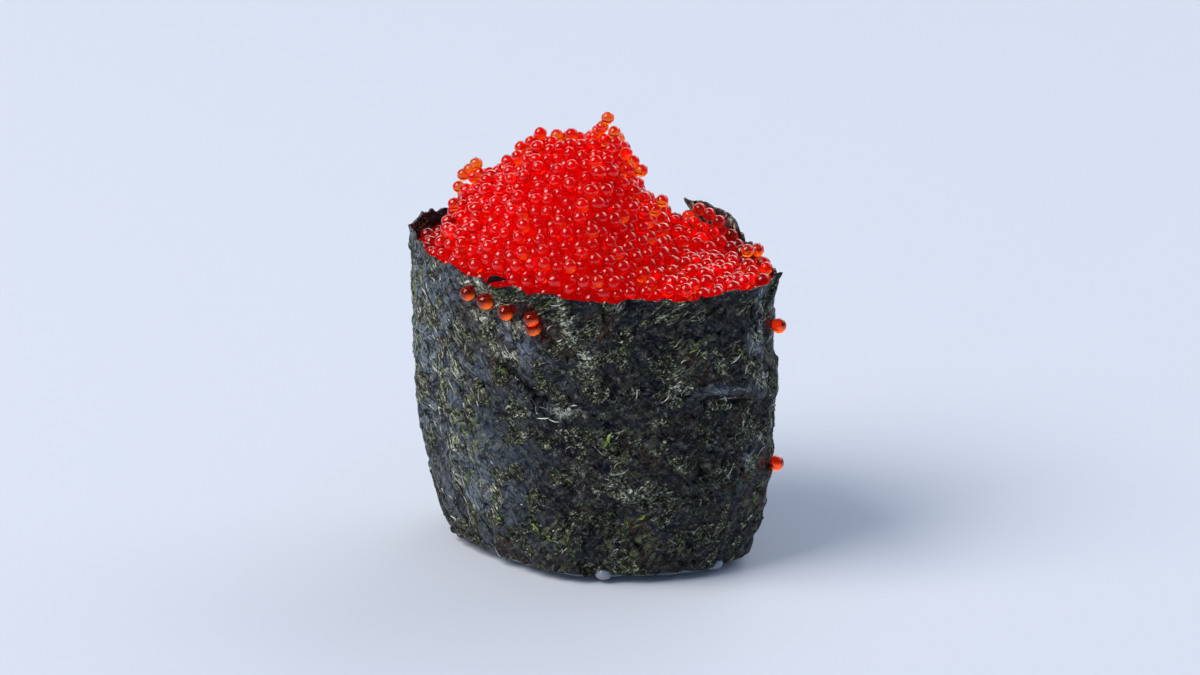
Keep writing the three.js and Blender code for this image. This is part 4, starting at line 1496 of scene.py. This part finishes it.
def seaweed_finish():
    finish, shader = new_finish("pressed seaweed", Roughness=0.42, Specular_IOR_Level=0.22)
    marks = ("dry_and_lit", "pale", "green", "crevice", "smear_and_reflection")
    dry_and_lit, pale, green, crevice, smear_and_reflection = (read_number(finish, name) for name in marks)
    blade, tilt = blade_colours(finish, dry_and_lit)
    fibre, fine, patch = fibre_clouds(finish, dry_and_lit, pale)
    colour = mix(finish, patch, blade, fibre)
    (small_red, small_green, _), _ = strip_cells(finish, *SMALL_BLADES)
    leaf = between(finish, small_green, 0.66, 0.74)
    leaf = times(finish, leaf, between(finish, green, 0, 0.8, 0.12, 0.8))
    colour = mix(finish, leaf, colour, MOSS)
    colour = mix(finish, between(finish, small_red, 0.76, 0.82, 0.0, 0.7), colour, NIGHT)
    threads = thread_lines(finish)
    on_pale = between(finish, pale, 0.1, 0.9, 0.22, 1.0)
    shown = larger(finish, on_pale, between(finish, dry_and_lit, 0.0, 1.0, 0.0, 0.5))
    # Pale threads on pale and grey places, the palest of them partly painted glints
    colour = mix(finish, times(finish, threads, shown), colour, STRAW)
    # Creases and thin gaps are painted black: painted shade where the relief holds shadow
    gaps = times(finish, strip_threads(finish, *GAPS), 0.95)
    dark = larger(finish, gaps, between(finish, crevice, 0.25, 0.7, 0.0, 0.97))
    colour = mix(finish, dark, colour, BLACK)
    # Red on the sheet: the eggs' wet marks, and a painted red reflection beside the eggs at the right
    # end
    red_smear_and_reflection = between(finish, smear_and_reflection, 0.35, 0.6, 0.0, 0.9)
    link(finish, mix(finish, red_smear_and_reflection, colour, BLOOD), shader.inputs["Base Color"])
    worn = between(finish, strip_noise(finish, *WEAR), 0.35, 0.65, *GLOSS)
    rough = total(finish, (worn, 1.0), (patch, 0.12), (red_smear_and_reflection, -0.2), (dark, 0.3))
    link(finish, rough, shader.inputs["Roughness"])
    layers = {"blades": tilt, "fibres": times(finish, fine, patch), "threads": threads,
              "swell": strip_noise(finish, *SWELL), "gaps": gaps, "crevice": crevice}
    link(finish, seaweed_relief(finish, layers), shader.inputs["Normal"])
    return finish


seaweed = seaweed_finish()
strip.data.materials.append(seaweed)
print("finish:", seaweed.name)

# %% Finish of the cut edge and of the fibres
EDGE_COLOURS = [(0.35, (0.03, 0.035, 0.012)), (0.5, (0.17, 0.085, 0.018)), (0.65, (0.36, 0.17, 0.03))]
FLAKE_COLOURS = [
    (0.4, (0.0015, 0.0015, 0.003)), (0.6, (0.005, 0.005, 0.007)), (0.78, (0.03, 0.03, 0.02)),
]
# Tones up to the palest thread, and over that the green blades
TONE_COLOURS = [
    (0.0, (0.006, 0.008, 0.010)), (0.3, (0.02, 0.026, 0.022)), (0.5, (0.06, 0.07, 0.055)),
    (0.62, (0.2, 0.21, 0.18)), (PALEST, (0.7, 0.7, 0.6)), (0.8, (0.05, 0.08, 0.06)),
    (0.9, (0.08, 0.13, 0.02)), (1.0, (0.26, 0.36, 0.045)),
]


def edge_finish(name, roughness, gloss, colours):
    finish, shader = new_finish(name, Roughness=roughness, Specular_IOR_Level=gloss)
    link(finish, ramp(finish, speckle(finish, 900.0), colours), shader.inputs["Base Color"])
    return finish


def fibre_finish():
    finish, shader = new_finish("seaweed fibre", Roughness=0.34)
    colour = ramp(finish, read_number(finish, "tone"), TONE_COLOURS)
    link(finish, colour, shader.inputs["Base Color"])
    return finish


strip.data.materials.append(edge_finish("cut edge of seaweed", 0.6, 0.25, EDGE_COLOURS))
fibres.data.materials.append(fibre_finish())
flake.data.materials.append(edge_finish("loose flake", 0.35, 0.08, FLAKE_COLOURS))
print("strip materials:", [slot.name for slot in strip.data.materials])

# %% [markdown]
# ## Finish of the eggs
# An egg is clear orange jelly in a thin shell. Light that crosses one egg comes out orange,
# after two it is red, and in the depth of the heap nothing but deep red is left. A clear
# shader whose colour tints the light at each crossing does that by itself. Two things are
# helped along with a weak glow, which is painted light: the eggs pass far more light among
# themselves than a render follows, and each egg gathers the light that crosses it on its far
# side, as a small lens does, which is painted as an orange crescent on the eggs that stand
# clear. Eggs in front of the dark sheet get no light through it, so a stronger painted glow
# stands in for it. The more orange tint of proud eggs is painted light as well.

# %% Make the eggs' finish
EGG_RED = (1.0, 0.018, 0.008)
EGG_ORANGE = (1.0, 0.15, 0.006)
# The glows are painted light: an even one on every egg, and a crescent on its far side
EGG_GLOW = (0.033, 0.0, 0.0004)
# A stronger painted glow, in place of the light that comes through from behind
BACKED_GLOW = (0.13, 0.0015, 0.0025)  # what an egg in front of dark seaweed gets instead
CRESCENT_RED = (0.06, 0.001, 0.001)
CRESCENT_ORANGE = (0.4, 0.06, 0.001)
DEEP_RED = (0.93, 0.003, 0.004)
# The core's glow is painted light, for the light that the eggs pass among themselves
CORE_GLOW = 0.1
CORE_COLOURS = [(0.35, DEEP_RED), (0.7, (1.0, 0.012, 0.006))]
CORE_GLOWS = [(0.35, (0.6, 0, 0.002)), (0.65, (1.0, 0.004, 0.003))]
STRAY_RED = (0.9, 0.035, 0.003, 1)
STRAY_GLOW = (0.03, 0.0, 0.0)
STRAY_CRESCENT = (0.9, 0.14, 0.003)


def far_side(finish, start):
    """Where an egg gathers the light that crosses it: 0 up to a start, 1 in the middle."""
    gathered = between(finish, read_number(finish, "far_side"), start, 0.95)
    return times(finish, gathered, gathered)


def roe_finish():
    finish, shader = new_finish("flying fish egg", Roughness=0.07, IOR=1.33,
                                Transmission_Weight=1.0, Coat_Weight=0.65, Coat_Roughness=0.2,
                                Coat_IOR=1.5, Emission_Strength=1.0)
    tint = read_number(finish, "tint")
    link(finish, mix(finish, tint, EGG_RED, EGG_ORANGE), shader.inputs["Base Color"])
    crescent = mix(finish, between(finish, tint, 0.3, 0.9), CRESCENT_RED, CRESCENT_ORANGE)
    glow = mix(finish, far_side(finish, 0.25), EGG_GLOW, crescent)
    glow = mix(finish, read_number(finish, "backed"), glow, BACKED_GLOW)
    link(finish, glow, shader.inputs["Emission Color"])
    return finish


def stray_finish():
    """An egg on dark seaweed: no light comes through from behind, so a painted glow stands in for it,
    strongest in a crescent on its far side.
    """
    finish, shader = new_finish("lone fish egg", Roughness=0.04, IOR=1.35, Transmission_Weight=0.93,
                                Subsurface_Weight=1.0, Subsurface_Scale=0.001, Coat_Weight=0.3,
                                Coat_Roughness=0.03, Emission_Strength=1.0)
    shader.inputs["Subsurface Radius"].default_value = (1, 0.2, 0.05)
    shader.inputs["Base Color"].default_value = STRAY_RED
    glow = mix(finish, far_side(finish, 0.2), STRAY_GLOW, STRAY_CRESCENT)
    link(finish, glow, shader.inputs["Emission Color"])
    return finish


def core_finish():
    finish, shader = new_finish("depth of the roe", Roughness=0.6, IOR=1.2, Subsurface_Weight=1.0,
                                Subsurface_Scale=0.006, Emission_Strength=CORE_GLOW)
    shader.inputs["Subsurface Radius"].default_value = (1, 0.03, 0.03)
    mottle = speckle(finish, 450.0)
    link(finish, ramp(finish, mottle, CORE_COLOURS), shader.inputs["Base Color"])
    link(finish, ramp(finish, mottle, CORE_GLOWS), shader.inputs["Emission Color"])
    return finish


egg_finish = roe_finish()
heap.data.materials.append(egg_finish)
stray_eggs.data.materials.append(stray_finish())
core.data.materials.append(core_finish())
print("finish:", egg_finish.name)

# %% Finish of the rice
# Grey blue and darker than white rice: painted shade, as the grains lie under the strip's edge
RICE_IN_SHADE_COLOURS = [(0.3, (0.22, 0.27, 0.32)), (0.7, (0.3, 0.355, 0.41))]


def rice_finish():
    finish, shader = new_finish("cooked rice", Roughness=0.3, Subsurface_Weight=1.0,
                                Subsurface_Scale=0.003, Coat_Weight=0.15, Coat_Roughness=0.15)
    link(finish, ramp(finish, speckle(finish, 350.0), RICE_IN_SHADE_COLOURS), shader.inputs["Base Color"])
    return finish


cooked = rice_finish()
grains.data.materials.append(cooked)
block.data.materials.append(cooked)
print("finish:", cooked.name)

# %% [markdown]
# ## Hang the pieces on the frame
# Everything is one body, so every piece rides on the root. The strip with its fibres and the
# stray eggs stand for the seaweed, the heap and its core for the roe, and the grains and the
# block for the rice.

# %% Ride and replace
PIECES = [
    (strip, "nori", "nori"),
    (fibres, "nori", "nori"),
    (flake, "nori", "nori"),
    (stray_eggs, "nori", "roe"),
    (heap, "tobiko", "roe"),
    (core, "tobiko", "roe"),
    (grains, "rice", "rice"),
    (block, "rice", "rice"),
]
for piece, node, slot in PIECES:
    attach(piece, "root")
    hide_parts(node)
print(len(PIECES), "pieces on the root")

# %% [markdown]
# ## The set
# The sushi stands on a plain pale ground that fills the picture. A large soft light from the
# upper left front gives each egg its small highlight and throws the soft shadow to the right.
# A weaker one behind lights the far rim, and a bright card beside it, which only reflections
# see, draws the thin arcs on the eggs. A pale blue surrounding fills the rest.

# %% Ground and lights
GROUND_SIZE = 6  # metres
GROUND_COLOUR = (0.68, 0.69, 0.745, 1)
LIT_PLACE = Vector((0, 0, 0.03))  # what every light looks at
SKY_COLOUR = (0.52, 0.70, 1.0, 1)
SKY_STRENGTHS = {"To Min": 0.44, "To Max": 0.06}  # on surfaces, and in reflections

deselect_all()
bpy.ops.mesh.primitive_plane_add(size=GROUND_SIZE)
ground = new_piece("ground")
ground_finish, ground_shader = new_finish("pale ground", Roughness=0.7, Specular_IOR_Level=0.2)
ground_shader.inputs["Base Color"].default_value = GROUND_COLOUR
ground.data.materials.append(ground_finish)


def add_light(name, direction, distance, size, watts, colour=(1, 1, 1)):
    """A soft light that looks at the sushi from a direction, with its size in metres."""
    towards = Vector(direction).normalized()
    lamp = bpy.data.lights.new(name, "AREA")
    lamp.shape = "RECTANGLE"
    lamp.size, lamp.size_y = size
    lamp.energy = watts
    lamp.color = colour
    holder = bpy.data.objects.new(name, lamp)
    holder.location = LIT_PLACE + towards * distance
    holder.rotation_euler = (-towards).to_track_quat("-Z", "Y").to_euler()
    bpy.context.scene.collection.objects.link(holder)
    return holder


add_light("key_light", (-0.46, -0.49, 0.75), 1.7, (1.05, 1.15), 28, (1, 0.99, 0.96))
add_light("back_light", (0.35, 0.85, 0.60), 1.5, (1.8, 1.0), 9, (0.93, 0.97, 1))
card = add_light("bright_card", (-0.35, 0.81, 0.47), 1.5, (2.4, 0.8), 8.5)
card.visible_diffuse = False  # it only draws the bright arcs on the eggs
world = bpy.data.worlds.new("pale surroundings")
world.use_nodes = True
surroundings = world.node_tree.nodes["Background"]
surroundings.inputs["Color"].default_value = SKY_COLOUR
ray = world.node_tree.nodes.new("ShaderNodeLightPath")
dimmed = world.node_tree.nodes.new("ShaderNodeMapRange")
for end, strength in SKY_STRENGTHS.items():
    dimmed.inputs[end].default_value = strength
world.node_tree.links.new(ray.outputs["Is Glossy Ray"], dimmed.inputs["Value"])
world.node_tree.links.new(dimmed.outputs["Result"], surroundings.inputs["Strength"])
bpy.context.scene.world = world
bpy.context.scene.view_settings.view_transform = "Standard"
print("lights:", [lamp.name for lamp in bpy.data.lights])

# %% The camera
CAMERA_PLACE = Vector((145.5, -344.0, 155.95)) * MM
CAMERA_TARGET = Vector((0.34, 1.99, 24.68)) * MM
FIELD_OF_VIEW = 20  # degrees across the picture's width
SENSOR = 36
VISIBLE = (0.01, 20)  # nearest and farthest that the camera shows, in metres

camera = bpy.data.cameras.new("camera")
camera.sensor_width = SENSOR
camera.lens = SENSOR / 2 / math.tan(math.radians(FIELD_OF_VIEW / 2))
camera.clip_start, camera.clip_end = VISIBLE
holder = bpy.data.objects.new("camera", camera)
holder.location = CAMERA_PLACE
holder.rotation_euler = (CAMERA_TARGET - CAMERA_PLACE).to_track_quat("-Z", "Y").to_euler()
bpy.context.scene.collection.objects.link(holder)
bpy.context.scene.camera = holder
print("lens:", round(camera.lens, 1), "mm")
